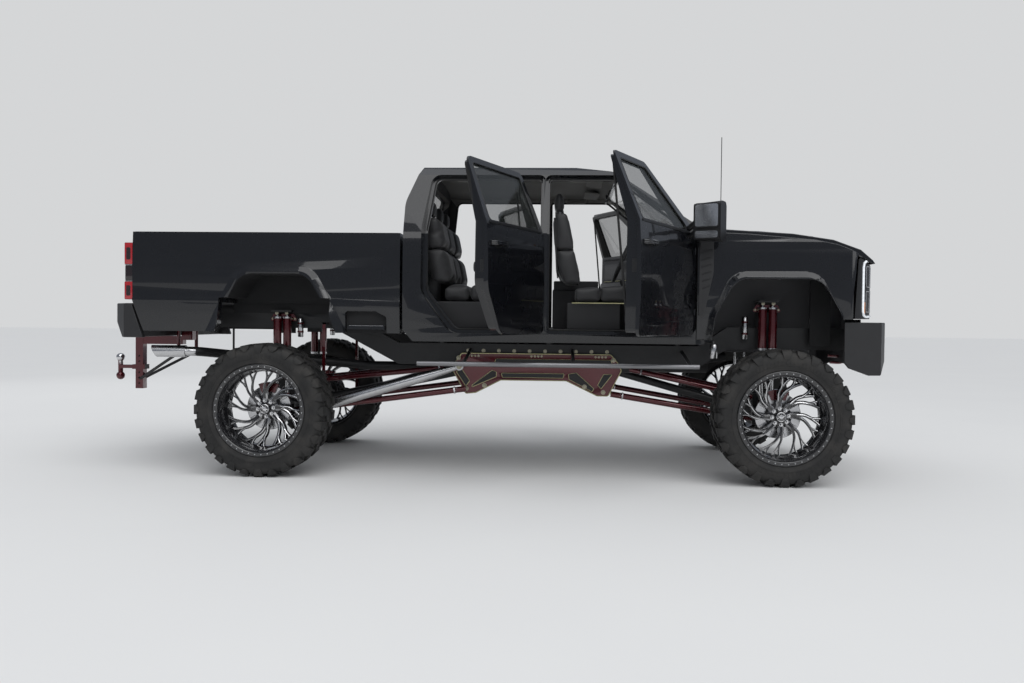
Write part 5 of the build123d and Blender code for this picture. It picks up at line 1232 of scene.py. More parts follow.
def build_tail_lamps():
    """Three stacked lenses a side, with bright lines between them."""
    form = Form("lamp_red")
    for side in (-1, 1):
        y0, y1 = sorted((side * 0.812, side * 1.011))
        x0, x1 = -2.787, -2.723
        for key, low, high, inset in (
            ("lamp_red", 1.386, 1.530, 0.0), ("lamp_smoke", 1.538, 1.660, 0.004),
            ("lamp_red", 1.668, 1.844, 0.0),
        ):
            form.use(key)
            outline = plaque(y0 + inset, low, y1 - inset, high, 0.010)
            form.prism(outline, "x", x0 + inset, x1)
        form.use("polished")
        for z in (1.534, 1.664):
            form.box((x0 + 0.002, y0 + 0.003, z - 0.0035), (x1 - 0.002, y1 - 0.003, z + 0.0035))
        form.use("lamp_smoke")
        for low, high in ((1.415, 1.500), (1.705, 1.805)):
            outline = plaque(y0 + 0.045, low, y1 - 0.045, high, 0.02)
            form.prism(outline, "x", x0 - 0.0015, x0 + 0.004)
            flank = side * 1.0125
            outline = plaque(x0 + 0.014, low, x1 - 0.014, high, 0.01)
            form.prism(outline, "y", *sorted((flank, flank - side * 0.004)))
        form.use("chrome")
        form.prism(plaque(y0 + 0.03, 1.575, y1 - 0.03, 1.622, 0.01), "x", x0 - 0.0002, x0 + 0.012)
    form.done("tail_lamps_dressed", "truck", bevel=0.003, replaces="tail_lamps")


def build_mirrors():
    """Rounded housings, two panes each and an amber marker."""
    for label, side in SIDES:
        dress(f"mirror_{label}", 0.014, lambda c, n: "trim", steps=3)
    form = Form("chrome", "trim")
    for low, high in ((1.962, 2.146), (1.876, 1.944)):
        form.use("trim")
        form.prism(plaque(-1.254, low, -1.063, high, 0.022), "x", 1.5485, 1.556)
        form.use("chrome")
        form.prism(plaque(-1.246, low + 0.008, -1.071, high - 0.008, 0.016), "x", 1.547, 1.5495)
    form.use("lamp_amber")
    form.prism(plaque(-1.262, 2.02, -1.24, 2.12, 0.008), "x", 1.700, 1.7045)
    mesh = form.to_mesh("mirror_panes")
    for label, side in SIDES:
        pane = swing(mesh, FRONT_HINGE_X, FRONT_OPEN, side)
        finish_piece(pane, f"mirror_panes_{label}", f"front_door_{label}", sharp=40)


build_headlamps()
build_tail_lamps()
build_mirrors()


# Doors, doorways and outside trim, right side closed, then swung open or mirrored
def skin_line(outline, inset):
    """Points of an outline in x and z on the side surface, set in by a depth."""
    return [Vector((q[0], -(side_y(q[1]) - inset), q[1])) for q in outline]


def shrunk(outline, radii, by):
    """Rounded outline moved in by a step on every side."""
    count = len(outline)
    made = []
    for i in range(count):
        p, before, after = Vector(outline[i]), Vector(outline[i - 1]), Vector(outline[(i + 1) % count])
        a, b = (p - before).normalized(), (after - p).normalized()
        na, nb = Vector((-a.y, a.x)), Vector((-b.y, b.x))
        made.append(tuple(p + (na + nb) * (by / (1 + na.dot(nb)))))
    return rounded(made, [max(0.0, r - by) for r in radii])


def turned_in(door):
    """Whether the outline of a door runs so that a positive step moves it in."""
    outline = DOORS[door][0]
    area = sum(a[0] * b[1] - b[0] * a[1] for a, b in zip(outline, outline[1:] + outline[:1]))
    return 1 if area > 0 else -1


def lay_window_frame(form, window):
    """Seals and bars round the glass, outside and inside."""
    form.use("trim")
    edge = rounded(window, 0.03)
    form.tube(spread(skin_line(edge, 0.003), 0.1), 0.0055, 8, ring=True)
    form.use("seal")
    form.tube(spread(skin_line(edge, 0.040), 0.1), 0.005, 8, ring=True)
    low, high = min(x for x, z in window), max(x for x, z in window)
    form.use("trim")
    bar = ((1.926, -0.002), (1.930, 0.005), (1.944, 0.006), (1.950, 0.000), (1.950, -0.012), (1.926, -0.012))
    ends = (low - 0.012, high + 0.020)
    form.loft([[Vector((x, -(side_y(z) + out), z)) for z, out in bar] for x in ends])
    bar = ((1.916, 0.0), (1.918, 0.012), (1.940, 0.014), (1.950, 0.004), (1.950, -0.006))
    ends = (low - 0.006, high + 0.006)
    form.loft([[Vector((x, -(wall_y(z, *LINING) - deep), z)) for z, deep in bar] for x in ends])


def lay_handle(form, back_x, front):
    """Grip over its cup, and the front door's lock."""
    grip_x = back_x + 0.060
    form.use("paint")
    grip = ((0.000, 0.000), (0.014, 0.024), (0.045, 0.036), (0.150, 0.038), (0.185, 0.026), (0.200, 0.000))
    path = smooth_path([(grip_x + x, -(side_y(HANDLE_Z) + out), HANDLE_Z) for x, out in grip], 21)
    for lift in (-0.007, 0.007):
        form.tube([(x, y, z + lift) for x, y, z in path], 0.0105, 10)
    form.use("trim")
    cup = [(grip_x + 0.10 + 0.072 * a, HANDLE_Z + 0.032 * b) for a, b in circle(1.0)]
    form.plate([Vector((x, -(side_y(z) + 0.0012), z)) for x, z in cup], (0, 1, 0), 0.004)
    if front:
        form.use("milled")
        lock = [(0.0, -0.004), (0.009, -0.003), (0.011, 0.003)]
        form.lathe(lock, "y", (grip_x + 0.222, -side_y(HANDLE_Z), HANDLE_Z), 16)


def lay_lining(form, outline, front):
    """Lining with its pocket, arm rest, upper pad, lever, switches and speaker."""
    left = outline[0][0] + 0.060 if front else REAR_DOOR_BACK_X + 0.075
    right = outline[1][0] - (0.075 if front else 0.060)
    base = [(left, 1.215), (right, 1.215), (right, 1.905), (left, 1.905)]
    if not front:
        base = [(0.02, 1.215), (right, 1.215), (right, 1.905), (left, 1.905), (left, 1.54)]

    def wall(points, inner):
        return [Vector((x, -(wall_y(z, *LINING) - inner), z)) for x, z in points]

    def pad(points, radius, low_in, high_in, rim=0.012):
        mid_x, mid_z = (sum(v) / len(points) for v in zip(*points))
        small = [(x + (rim if x < mid_x else -rim), z + (rim if z < mid_z else -rim)) for x, z in points]
        form.loft([
            wall(rounded(points, radius), low_in), wall(rounded(points, radius), high_in - 0.006),
            wall(rounded(small, radius), high_in),
        ])

    form.use("panel")
    pad(base, 0.05, -0.004, 0.016)
    form.use("plastic")
    low_left, high_left = (left + 0.03, left + 0.03) if front else (0.045, -0.115)
    pad([(low_left, 1.230), (right - 0.03, 1.230), (right - 0.03, 1.400), (high_left, 1.400)],
        0.03, 0.014, 0.036, 0.018)
    form.use("leather")
    arm_right = min(right - 0.05, 1.36)
    arm = [(left + 0.03, 1.590), (arm_right, 1.590), (arm_right, 1.665), (left + 0.03, 1.665)]
    pad(arm, 0.02, 0.014, 0.058, 0.008)
    upper_left, upper_right = left + 0.06, right - 0.07
    pad([(upper_left, 1.700), (upper_right, 1.700), (upper_right, 1.870), (upper_left, 1.870)],
        0.03, 0.012, 0.024, 0.012)
    # strip in the metal whose yellow tint is a painted reflection of grass
    form.use("metal_painted_reflection")
    form.tube(wall([(left + 0.05, 1.684), (right - 0.06, 1.684)], 0.018), 0.003, 8)
    form.use("chrome")
    lever = [(arm_right - 0.14, 1.770), (arm_right - 0.10, 1.776), (arm_right - 0.02, 1.776)]
    form.tube(smooth_path(wall(lever, 0.032), 9), 0.006, 8)
    form.use("trim")
    for k in range(4 if front else 1):
        x = arm_right - 0.03 - 0.032 * k
        form.plate(wall(plaque(x - 0.012, 1.612, x + 0.012, 1.642, 0.004), 0.061), (0, -1, 0), 0.006)
    speaker_x, speaker_z = right - (0.15 if front else 0.14), 1.490
    speaker_y = wall_y(speaker_z, *LINING)
    profile = ((0.072, 0.014), (0.072, 0.020), (0.066, 0.023), (0.062, 0.019), (0.0, 0.019))
    profile = [(radius, -(speaker_y - deep)) for radius, deep in profile]
    form.lathe(profile, "y", (speaker_x, 0, speaker_z), 36)
    for radius in (0.015, 0.030, 0.045):
        ring = [(speaker_x + a, -(speaker_y - 0.020), speaker_z + b) for a, b in circle(radius)]
        form.tube(ring, 0.0022, 6, ring=True)


def build_door(door):
    """Everything on one door that its solid leaves out."""
    outline, radii, window = DOORS[door][:3]
    way = turned_in(door)
    form = Form("seal")
    lip = [Vector((x, -(wall_y(z, *LINING) + 0.008), z)) for x, z in shrunk(outline, radii, 0.048 * way)]
    form.tube(spread(lip, 0.02), 0.008, 10, ring=True)
    lay_window_frame(form, window)
    front = door == "front_door"
    back_x = outline[0][0] if front else REAR_DOOR_BACK_X
    lay_handle(form, back_x, front)
    # side crease
    form.use("paint")
    crease = ((1.215, -0.001), (1.245, 0.004), (1.257, -0.001), (1.245, -0.004))
    x0 = (outline[0][0] + 0.045) if front else 0.02
    x1 = outline[1][0] - 0.045
    form.loft([[Vector((x, -(side_y(z) + out), z)) for z, out in crease] for x in (x0, x1)])
    lay_lining(form, outline, front)
    # latch at the free edge
    form.use("trim")
    latch_y = -(side_y(1.63) - 0.060)
    form.box((back_x + 0.0245, latch_y - 0.018, 1.585), (back_x + 0.030, latch_y + 0.018, 1.675))
    for z in (1.598, 1.662):
        form.bolt((back_x + 0.0255, latch_y, z), (-1, 0, 0), 0.006, 0.003, washer=False)
    mesh = form.to_mesh(door + "_trim")
    for label, side in SIDES:
        copy = swing(mesh, *DOORS[door][3:], side)
        finish_piece(copy, f"{door}_trim_{label}", f"{door}_{label}", bevel=0.0015, steps=1, sharp=40)


def on_both_sides(mesh, name, **finish):
    """Two pieces fixed to the truck, from a mesh made for the right side."""
    for label, side in SIDES:
        finish_piece(on_side(mesh, side), f"{name}_{label}", "truck", **finish)


def build_doorways():
    """Seals round the door openings and plates on the sills."""
    form = Form("seal")
    for door in DOORS:
        outline, radii = DOORS[door][:2]
        way = turned_in(door)
        ring = shrunk(outline, radii, 0.026 * way)
        form.use("seal")
        ring = [Vector((x, -(wall_y(z, *SEAL_DEPTHS) - 0.008), z)) for x, z in ring]
        form.tube(spread(ring, 0.02), 0.010, 10, ring=True)
        # sill plate
        left, right = (outline[0][0] + 0.09, outline[1][0] - 0.10) if door == "front_door" else (0.02, 0.50)
        form.use("polished")
        form.box((left, -0.866, 1.1795), (right, -0.830, 1.1825))
    on_both_sides(form.to_mesh("doorway"), "doorway_trim", sharp=40)


def build_roof_and_cowl():
    """Glass surrounds, header panel, cowl panel, wipers, roof seams and the third brake lamp."""
    form = Form("trim")
    # surrounds of the windscreen and the rear window
    for corners, foot, head, out in (
        (((0.905, 1.992), (0.700, 2.428)), (1.852, 1.962), (HEADER_X, HEADER_Z), 1),
        (((0.800, 1.970), (0.690, 2.395)), (CAB_REAR_X, 1.970), (-0.404, 2.470), -1),
    ):
        (wide, low), (narrow, high) = corners
        edge = rounded([(-wide, low), (wide, low), (narrow, high), (-narrow, high)], 0.05)
        lean = (head[0] - foot[0]) / (head[1] - foot[1])
        line = [(foot[0] + (z - foot[1]) * lean + 0.001 * out, y * 1.006, z) for y, z in edge]
        form.tube(line, 0.009, 8, ring=True)
    # header panel between the roof and the top of the windscreen, with its lining
    form.use("paint")
    header = [(0.950, 2.462), (1.120, 2.445), (1.160, 2.416), (1.180, 2.429), (1.133, 2.4585),
              (1.100, 2.4652), (0.950, 2.4845)]
    form.prism(header, "y", -0.712, 0.712)
    form.use("headliner")
    lining = [(0.950, 2.458), (1.118, 2.441), (1.157, 2.412), (1.160, 2.416), (1.120, 2.445), (0.950, 2.462)]
    form.prism(lining, "y", -0.700, 0.700)
    # cowl panel and wipers
    glass_skin = skin_of(NODES["cab_glass"].data)
    form.use("satin")
    form.prism([(1.846, 1.944), (1.872, 1.946), (1.868, 1.958), (1.846, 1.972)], "y", -0.86, 0.86)
    form.use("trim")
    for pivot_y, tip_y in ((0.30, 0.78), (-0.42, 0.08)):
        base = []
        for k in range(11):
            t = k / 10
            base.append((2.2, pivot_y + (tip_y - pivot_y) * t, 2.035 + 0.030 * math.sin(math.pi * t)))
        line = laid(glass_skin, base, (-1, 0, 0), 0.010, back=0.6)
        form.tube(line, 0.0055, 8)
        form.tube([(1.858, pivot_y - 0.10, 1.975), line[5]], (0.009, 0.005), 8)
        form.lathe([(0.0, 1.994), (0.012, 1.990), (0.016, 1.970)], "z", (1.858, pivot_y - 0.10, 0), 16)
    # roof seams and third brake lamp
    form.use("seal")
    roof_skin = skin_of(NODES["cab_shell"].data)
    for side in (-1, 1):
        run = [(CAB_REAR_X + 0.16 + 0.10 * k, side * 0.655, 2.6) for k in range(15)]
        form.tube(laid(roof_skin, run, (0, 0, -1), -0.001), 0.004, 6)
    form.use("lamp_red")
    form.prism(plaque(-0.16, 2.452, 0.16, 2.474, 0.006), "x", -0.424, -0.398)
    form.done("roof_and_cowl_trim", "truck", bevel=0.0015, steps=1)


def build_vent_ribs():
    """Ribs and a plain block on the fender vents."""
    vent_skin = skin_of(NODES["fender_vents"].data)
    form = Form("trim")
    for k in range(9):
        x, z = 1.853, 1.36 + 0.055 * k
        half = 0.020 + 0.003 * k
        rib = [(x - half, -1.1, z - 0.016), (x + half, -1.1, z + 0.006), (x + half, -1.1, z + 0.016),
               (x - half, -1.1, z - 0.006)]
        form.plate(laid(vent_skin, rib, (0, 1, 0), 0.004), (0, 1, 0), 0.008)
    form.use("satin")
    block = plaque(1.806, 1.820, 1.900, 1.880, 0.008)
    form.plate(laid(vent_skin, [(x, -1.1, z) for x, z in block], (0, 1, 0), 0.005), (0, 1, 0), 0.012)
    on_both_sides(form.to_mesh("vent_ribs"), "fender_vent_ribs", sharp=40, bevel=0.001)


def build_bed_fittings():
    """Rail caps, lashing eyes, floor ribs and the treads of the step behind the cab."""
    form = Form("trim")
    for side in (-1, 1):
        y0, y1 = sorted((side * 0.842, side * 0.984))
        form.prism(plaque(y0, 1.9315, y1, 1.9345, 0.001), "x", -2.71, -0.57)
        form.use("zinc")
        for x in (-2.45, -0.85):
            form.tube([(x - 0.03, side * 0.828, 1.50), (x - 0.03, side * 0.800, 1.505),
                       (x + 0.03, side * 0.800, 1.505), (x + 0.03, side * 0.828, 1.50)], 0.006, 8)
        form.use("trim")
    rib = Form("liner")
    rib.prism([(-0.016, 0.0), (0.016, 0.0), (0.010, 0.008), (-0.010, 0.008)], "x", -2.64, -0.62)
    form.add_mesh(row_of(rib, "liner", 11, (0, -0.50, BED_FLOOR_Z - 0.0005), (0, 0.10, 0)))
    form.use("polished")
    for side in (-1, 1):
        for k in range(5):
            y = side * (0.952 + 0.010 * k)
            form.box((-0.960, y - 0.0025, 1.192), (-0.684, y + 0.0025, 1.1955))
    form.done("bed_fittings", "truck", bevel=0.001, steps=1)


def build_tailgate_trim():
    """Handle, lens and pressed frame of the tailgate."""
    form = Form("trim")
    form.prism(plaque(-0.13, 1.765, 0.13, 1.835, 0.02), "x", -2.7275, -2.715)
    form.use("satin")
    form.prism(plaque(-0.10, 1.790, 0.10, 1.825, 0.012), "x", -2.735, -2.72)
    form.use("glass")
    form.lathe([(0.0, -2.731), (0.007, -2.730), (0.008, -2.724)], "x", (0, 0, 1.778), 16)
    form.use("paint")
    form.tube([(-2.7215, y, z) for y, z in plaque(-0.66, 1.46, 0.66, 1.70, 0.05)], 0.004, 6, ring=True)
    form.done("tailgate_trim", "tailgate", bevel=0.002)


for door in DOORS:
    build_door(door)
build_doorways()
build_roof_and_cowl()
build_vent_ribs()
build_bed_fittings()
build_tailgate_trim()


# Chassis detail
BRACKET_OUT_Y = 0.5323
BRACKET = (
    (-0.102, 0.970), (-0.192, 0.850), (-0.067, 0.630), (0.018, 0.640), (0.228, 0.748), (0.778, 0.748),
    (1.037, 0.625), (1.127, 0.625), (1.237, 0.840), (1.207, 0.900), (1.147, 0.970),
)
POCKETS = (
    ((-0.150, 0.816), (-0.101, 0.833), (-0.034, 0.737), (-0.067, 0.693)),
    ((-0.010, 0.705), (0.153, 0.828), (0.190, 0.816), (0.190, 0.775), (-0.020, 0.683)),
    ((0.232, 0.806), (0.760, 0.806), (0.750, 0.770), (0.242, 0.770)),
    ((0.794, 0.803), (0.861, 0.816), (1.010, 0.684), (0.994, 0.660), (0.802, 0.760)),
    ((1.090, 0.806), (1.162, 0.806), (1.068, 0.684), (1.040, 0.716)),
    ((0.187, 0.926), (1.148, 0.926), (1.163, 0.880), (0.168, 0.880)),
)
LINKS = (
    # rear or inner end, other end, radius of the bar
    ((-1.517, 0.5576, 0.470), (-0.062, 0.5576, 0.672), 0.025),
    ((-1.517, 0.360, 0.700), (-0.202, 0.467, 0.8477), 0.022),
    ((2.332, 0.450, 0.452), (1.147, 0.5576, 0.645), 0.025),
    ((2.332, 0.450, 0.630), (1.307, 0.467, 0.8477), 0.022),
)
SHOCKS = ((2.379, 1.418), (2.463, 1.418), (-1.664, 1.300), (-1.580, 1.300))


def build_brackets():
    """Bare polished edges, their yellow tint a painted reflection of green grass, with the pockets and bolts
    of the link brackets.
    """
    # edges in the metal whose yellow tint is a painted reflection of green grass
    form = Form("metal_painted_reflection")
    y = -BRACKET_OUT_Y
    for outline, radius, bar in [(BRACKET, 0.02, 0.0042)] + [(pocket, 0.006, 0.0030) for pocket in POCKETS]:
        form.use("metal_painted_reflection")
        form.tube([(x, y, z) for x, z in rounded(outline, radius)], bar, 6, ring=True)
        if outline is not BRACKET:
            form.use("chassis")
            form.plate([(x, y - 0.0008, z) for x, z in outline], (0, 1, 0), 0.003)
    form.use("zinc")
    for x, z in (
        (-0.062, 0.672), (1.087, 0.655), (-0.130, 0.930), (1.170, 0.925), (0.09, 0.700), (0.93, 0.700),
    ):
        form.bolt((x, y, z), (0, -1, 0), 0.0135, 0.014)
    for start in (-0.045, 0.485, 1.02):
        for k in range(4):
            form.bolt((start + 0.028 * k, y, 0.950), (0, -1, 0), 0.007, 0.009)
    for k in range(10):
        form.bolt((-0.052 + 0.1298 * k, -RAIL_OUT_Y, 0.992), (0, -1, 0), 0.011, 0.010)
    on_both_sides(form.to_mesh("bracket_detail"), "bracket_detail", sharp=40)


def build_links():
    """Jam nuts and bright necks at the ends of the links, and bolts of the traction bars."""
    form = Form("milled")
    for low, high, radius in LINKS:
        a, b = Vector(low), Vector(high)
        run = (b - a).normalized()
        for end, way in ((a, run), (b, -run)):
            form.use("milled")
            for at, size in ((0.070, 1.02), (0.092, 1.22)):
                form.bolt(end + way * at, way, radius * size, 0.014, washer=False)
            form.use("chrome")
            form.tube([end + way * 0.040, end + way * 0.066], radius * 0.72, 12)
    form.use("zinc")
    for x, y, z in ((-1.562, -0.6306, 0.425), (-0.110, -0.6306, 0.863)):
        form.bolt((x, y - 0.040, z), (0, -1, 0), 0.016, 0.014)
    # the links are written for the left side
    for vertex in form.bm.verts:
        if vertex.co.y > 0:
            vertex.co.y = -vertex.co.y
    on_both_sides(form.to_mesh("link_ends"), "link_ends", sharp=40)


def can(radius, low, high):
    """Profile of a small closed tank with softened ends."""
    return [(0.0, low), (radius - 0.004, low), (radius, low + 0.006), (radius, high - 0.006),
            (radius - 0.004, high), (0.0, high)]


def build_shocks():
    """Collars, boots and reservoirs of the shock absorbers, their mounts and the coil springs."""
    form = Form("milled")
    for x, top in SHOCKS:
        centre = (x, -SHOCK_Y, 0)
        form.use("milled")
        for low, high in ((top - 0.394, top - 0.372), (top - 0.056, top - 0.038)):
            collar = [(0.030, low), (0.0365, low + 0.002), (0.0365, high - 0.002), (0.030, high)]
            form.lathe(collar, "z", centre, 28)
        form.use("rubber")
        boot = [(0.010, top - 0.445), (0.016, top - 0.443), (0.016, top - 0.410), (0.012, top - 0.396)]
        form.lathe(boot, "z", centre, 20)
        form.use("zinc")
        form.bolt((x, -0.610, top - 0.010), (0, -1, 0), 0.010, 0.008)
    # reservoirs clamped beside the bodies, on the outer side of the rail
    for x, low, high in ((2.245, 1.115, 1.300), (-1.478, 1.090, 1.250)):
        centre = (x, -0.548, 0)
        form.use("polished")
        form.lathe(can(0.024, low, high), "z", centre, 24)
        form.use("candy")
        for z in (low + 0.045, high - 0.045):
            band = [(0.0235, z - 0.008), (0.0265, z - 0.007), (0.0265, z + 0.007), (0.0235, z + 0.008)]
            form.lathe(band, "z", centre, 24)
            form.box((x - 0.008, -0.528, z - 0.007), (x + 0.008, -RAIL_OUT_Y + 0.002, z + 0.007))
    # shock mounts and a strap on the rails, and the small tank behind the front wheel
    form.use("candy")
    for x, low, high in ((2.421, 1.340, 1.400), (-1.622, 1.225, 1.285)):
        outline = rounded([(x - 0.120, low), (x + 0.120, low), (x + 0.085, high), (x - 0.085, high)], 0.012)
        form.prism(outline, "y", -0.552, -0.546)
        form.use("zinc")
        for dx in (-0.095, -0.070, 0.070, 0.095):
            form.bolt((x + dx, -0.552, low + 0.018), (0, -1, 0), 0.0065, 0.007)
        form.use("candy")
    form.box((-1.270, -0.625, 0.545), (-1.245, -0.618, 1.215))
    form.box((-1.270, -0.625, 1.200), (-1.245, -RAIL_OUT_Y + 0.002, 1.215))
    form.use("polished")
    form.lathe(can(0.030, 0.960, 1.074), "z", (1.955, -0.780, 0), 24)
    form.use("chassis")
    form.tube([(1.955, -0.780, 1.066), (1.955, -0.780, 1.090), (1.955, -RAIL_OUT_Y, 1.090)], 0.010, 8)
    # coil springs over the front axle
    turns, steps = 6.5, 130
    coil = []
    for k in range(steps + 1):
        t = k / steps
        a, b = math.cos(2 * math.pi * turns * t), math.sin(2 * math.pi * turns * t)
        coil.append((FRONT_X + 0.054 * a, -SPRING_Y + 0.054 * b * 0.9, 0.575 + 0.345 * t))
    form.tube(coil, 0.0085, 8)
    seat = [(0.0, 0.560), (0.068, 0.560), (0.068, 0.570), (0.0, 0.570)]
    form.lathe(seat, "z", (FRONT_X, -SPRING_Y, 0), 28)
    on_both_sides(form.to_mesh("shock_detail"), "shock_detail", sharp=40)


def build_brakes():
    """Discs turn with the wheels; callipers stay with the knuckles and the rear axle."""
    disc = Form("polished")
    profile = [(0.100, 0.086), (0.178, 0.086), (0.180, 0.088), (0.180, 0.094), (0.178, 0.096), (0.100, 0.096)]
    disc.lathe(profile + profile[:1], "y", (0, 0, 0), 64)
    slot = Form("cast")
    slot.box((-0.0016, 0.0855, 0.118), (0.0016, 0.0866, 0.168))
    disc.add_mesh(ring_of(slot, "cast", 18))
    disc.use("cast")
    disc.lathe([(0.088, 0.070), (0.102, 0.074), (0.102, 0.098), (0.088, 0.098)], "y", (0, 0, 0), 48)
    disc_mesh = disc.to_mesh("disc")
    caliper = Form("candy")
    arc = [math.radians(a) for a in range(-24, 25, 6)]
    for outer, inner, low, high in (
        (0.190, 0.128, 0.069, 0.082), (0.190, 0.128, 0.100, 0.118), (0.206, 0.186, 0.069, 0.118),
    ):
        rim = [(outer * math.sin(t), outer * math.cos(t)) for t in arc]
        rim += [(inner * math.sin(t), inner * math.cos(t)) for t in reversed(arc)]
        caliper.prism(rim, "y", low, high)
    caliper.use("cast")
    caliper.box((-0.045, 0.112, 0.030), (0.045, 0.128, 0.150))
    caliper_mesh = caliper.to_mesh("caliper")
    for end, axle_x in AXLES:
        for label, side in SIDES:
            for mesh, name, body in (
                (disc_mesh, "brake_disc", f"wheel_{end}_{label}"),
                (caliper_mesh, "brake_caliper", f"knuckle_{label}" if end == "front" else "truck"),
            ):
                copy = at_wheel(mesh, axle_x, side)
                finish_piece(copy, f"{name}_{end}_{label}", body, bevel=0.0015, steps=1, sharp=40)


def build_undercarriage():
    """Axle covers, shields of the wheel wells, pads and plate recess of the rear bumper."""
    form = Form("chassis")
    # axle covers with bolts
    for x, y, way in ((REAR_X, 0.0, -1.0), (FRONT_X, -0.170, 0.6)):
        form.use("cast")
        form.lathe([(0.0, x + way * 0.200), (0.060, x + way * 0.194), (0.100, x + way * 0.170),
                    (0.118, x + way * 0.140), (0.118, x + way * 0.090)], "x", (0, y, TYRE_R), 40)
        form.use("zinc")
        for a, b in circle(0.108, 10):
            form.bolt((x + way * 0.150, y + a, TYRE_R + b), (way, 0, 0), 0.007, 0.006)
    # shields that close the wheel wells above the rails
    form.use("arch")
    for side in (-1, 1):
        for x0, x1, z0, z1, y in ((-2.050, -1.070, 1.290, 1.425, 0.556), (2.760, 2.925, 1.060, 1.640, 0.600)):
            y0, y1 = sorted((side * y, side * (y + 0.004)))
            form.box((x0, y0, z0), (x1, y1, z1))
    # rear bumper pads, plate recess and its two lamps
    form.use("satin")
    for side in (-1, 1):
        y0, y1 = sorted((side * 0.42, side * 0.80))
        form.prism(plaque(y0, 1.3545, y1, 1.3590, 0.001), "x", -2.880, -2.760)
    form.use("trim")
    form.prism(plaque(-0.17, 1.225, 0.17, 1.330, 0.01), "x", -2.9145, -2.905)
    form.use("lamp_clear")
    for y in (-0.13, 0.13):
        form.box((-2.917, y - 0.012, 1.318), (-2.912, y + 0.012, 1.326))
    form.done("undercarriage_detail", "truck", bevel=0.0015, steps=1)


def build_nose():
    """Fog lamps, tow hooks, and the meshes of the bumper and the grille."""
    form = Form("trim")
    skin = skin_of(NODES["front_bumper"].data)
    for side in (-1, 1):
        y, z = side * 0.530, 1.090
        face = laid(skin, [(3.6, y, z)], (-1, 0, 0), 0.0, back=0.1)[0].x
        form.use("polished")
        form.tube([(face + 0.004, y + a, z + b) for a, b in circle(0.036)], 0.0045, 8, ring=True)
        form.use("lamp_white")
        lens = [(0.0, face + 0.010), (0.020, face + 0.008), (0.034, face + 0.002), (0.034, face - 0.001)]
        form.lathe(lens, "x", (0, y, z), 28)
        form.use("candy")
        hook = ((3.19, 0.955), (3.290, 0.950), (3.325, 0.930), (3.325, 0.905), (3.295, 0.892), (3.21, 0.895))
        form.tube(smooth_path([(x, side * 0.400, z) for x, z in hook], 21), 0.012, 10)
    form.use("satin")
    form.box((3.098, -0.800, 1.200), (3.106, 0.800, 1.286))
    form.use("chassis")
    for k in range(7):
        form.tube([(3.205, -0.33, 1.022 + 0.016 * k), (3.205, 0.33, 1.022 + 0.016 * k)], 0.0022, 6)
    for k in range(23):
        form.tube([(3.207, -0.33 + 0.03 * k, 1.012), (3.207, -0.33 + 0.03 * k, 1.128)], 0.0018, 6)
    form.use("trim")
    for k in range(12):
        form.tube([(3.150, -0.62, 1.315 + 0.034 * k), (3.150, 0.62, 1.315 + 0.034 * k)], 0.0035, 6)
    for k in range(32):
        form.tube([(3.148, -0.62 + 0.04 * k, 1.305), (3.148, -0.62 + 0.04 * k, 1.708)], 0.0028, 6)
    form.done("nose_detail", "truck", sharp=50)


build_brackets()
build_links()
build_shocks()
build_brakes()
build_undercarriage()
build_nose()


# Cabin detail
def lay_dashboard(form):
    """Cover over the dials, screens, vents, glove box line and knobs."""
    face = DASH_X
    form.use("panel")
    cover = [(1.395, 1.830), (1.52, 1.885), (1.60, 1.900), (1.60, 1.880), (1.42, 1.845)]
    form.prism(rounded(cover, 0.006), "y", 0.20, 0.58)
    form.use("dark_glass")
    form.prism(plaque(0.235, 1.745, 0.545, 1.835, 0.012), "x", face - 0.012, face + 0.02)
    form.prism(plaque(-0.135, 1.680, 0.135, 1.855, 0.012), "x", face - 0.022, face - 0.004)
    form.use("lamp_white")
    for y in (0.315, 0.465):
        form.tube([(face - 0.0135, y + a, 1.790 + b) for a, b in circle(0.034)], 0.0012, 6, ring=True)
    form.use("trim")
    form.prism(plaque(-0.15, 1.668, 0.15, 1.868, 0.018), "x", face - 0.006, face + 0.03)
    for y in (-0.70, -0.24, 0.66):
        form.use("chrome")
        edge = plaque(y - 0.055, 1.745, y + 0.055, 1.825, 0.012)
        form.tube([(face - 0.002, a, b) for a, b in edge], 0.003, 6, ring=True)
        form.use("trim")
        for k in range(5):
            z = 0.0135 * k
            form.box((face - 0.004, y - 0.050, 1.756 + z), (face + 0.010, y + 0.050, 1.761 + z))
    form.use("chrome")
    form.tube([(1.408, -0.62, 1.700), (1.408, -0.26, 1.700)], 0.003, 6)
    form.use("plastic")
    for k in range(6):
        form.lathe([(0.0, 1.380), (0.010, 1.383), (0.012, 1.420)], "x", (0, -0.10 + 0.04 * k, 1.640), 16)


def lay_console(form):
    """Top plate, cup rings and lever of the console."""
    form.use("trim")
    form.prism(plaque(-0.11, 1.519, 0.11, 1.527, 0.002), "x", 1.07, 1.38)
    for y in (-0.045, 0.045):
        form.use("chrome")
        form.tube([(1.125 + a, y + b, 1.5275) for a, b in circle(0.036)], 0.0025, 6, ring=True)
    form.use("leather")
    knob = [(0.0, 1.625), (0.020, 1.620), (0.024, 1.600), (0.012, 1.575), (0.010, 1.525)]
    form.lathe(knob, "z", (1.27, 0.045, 0), 20)


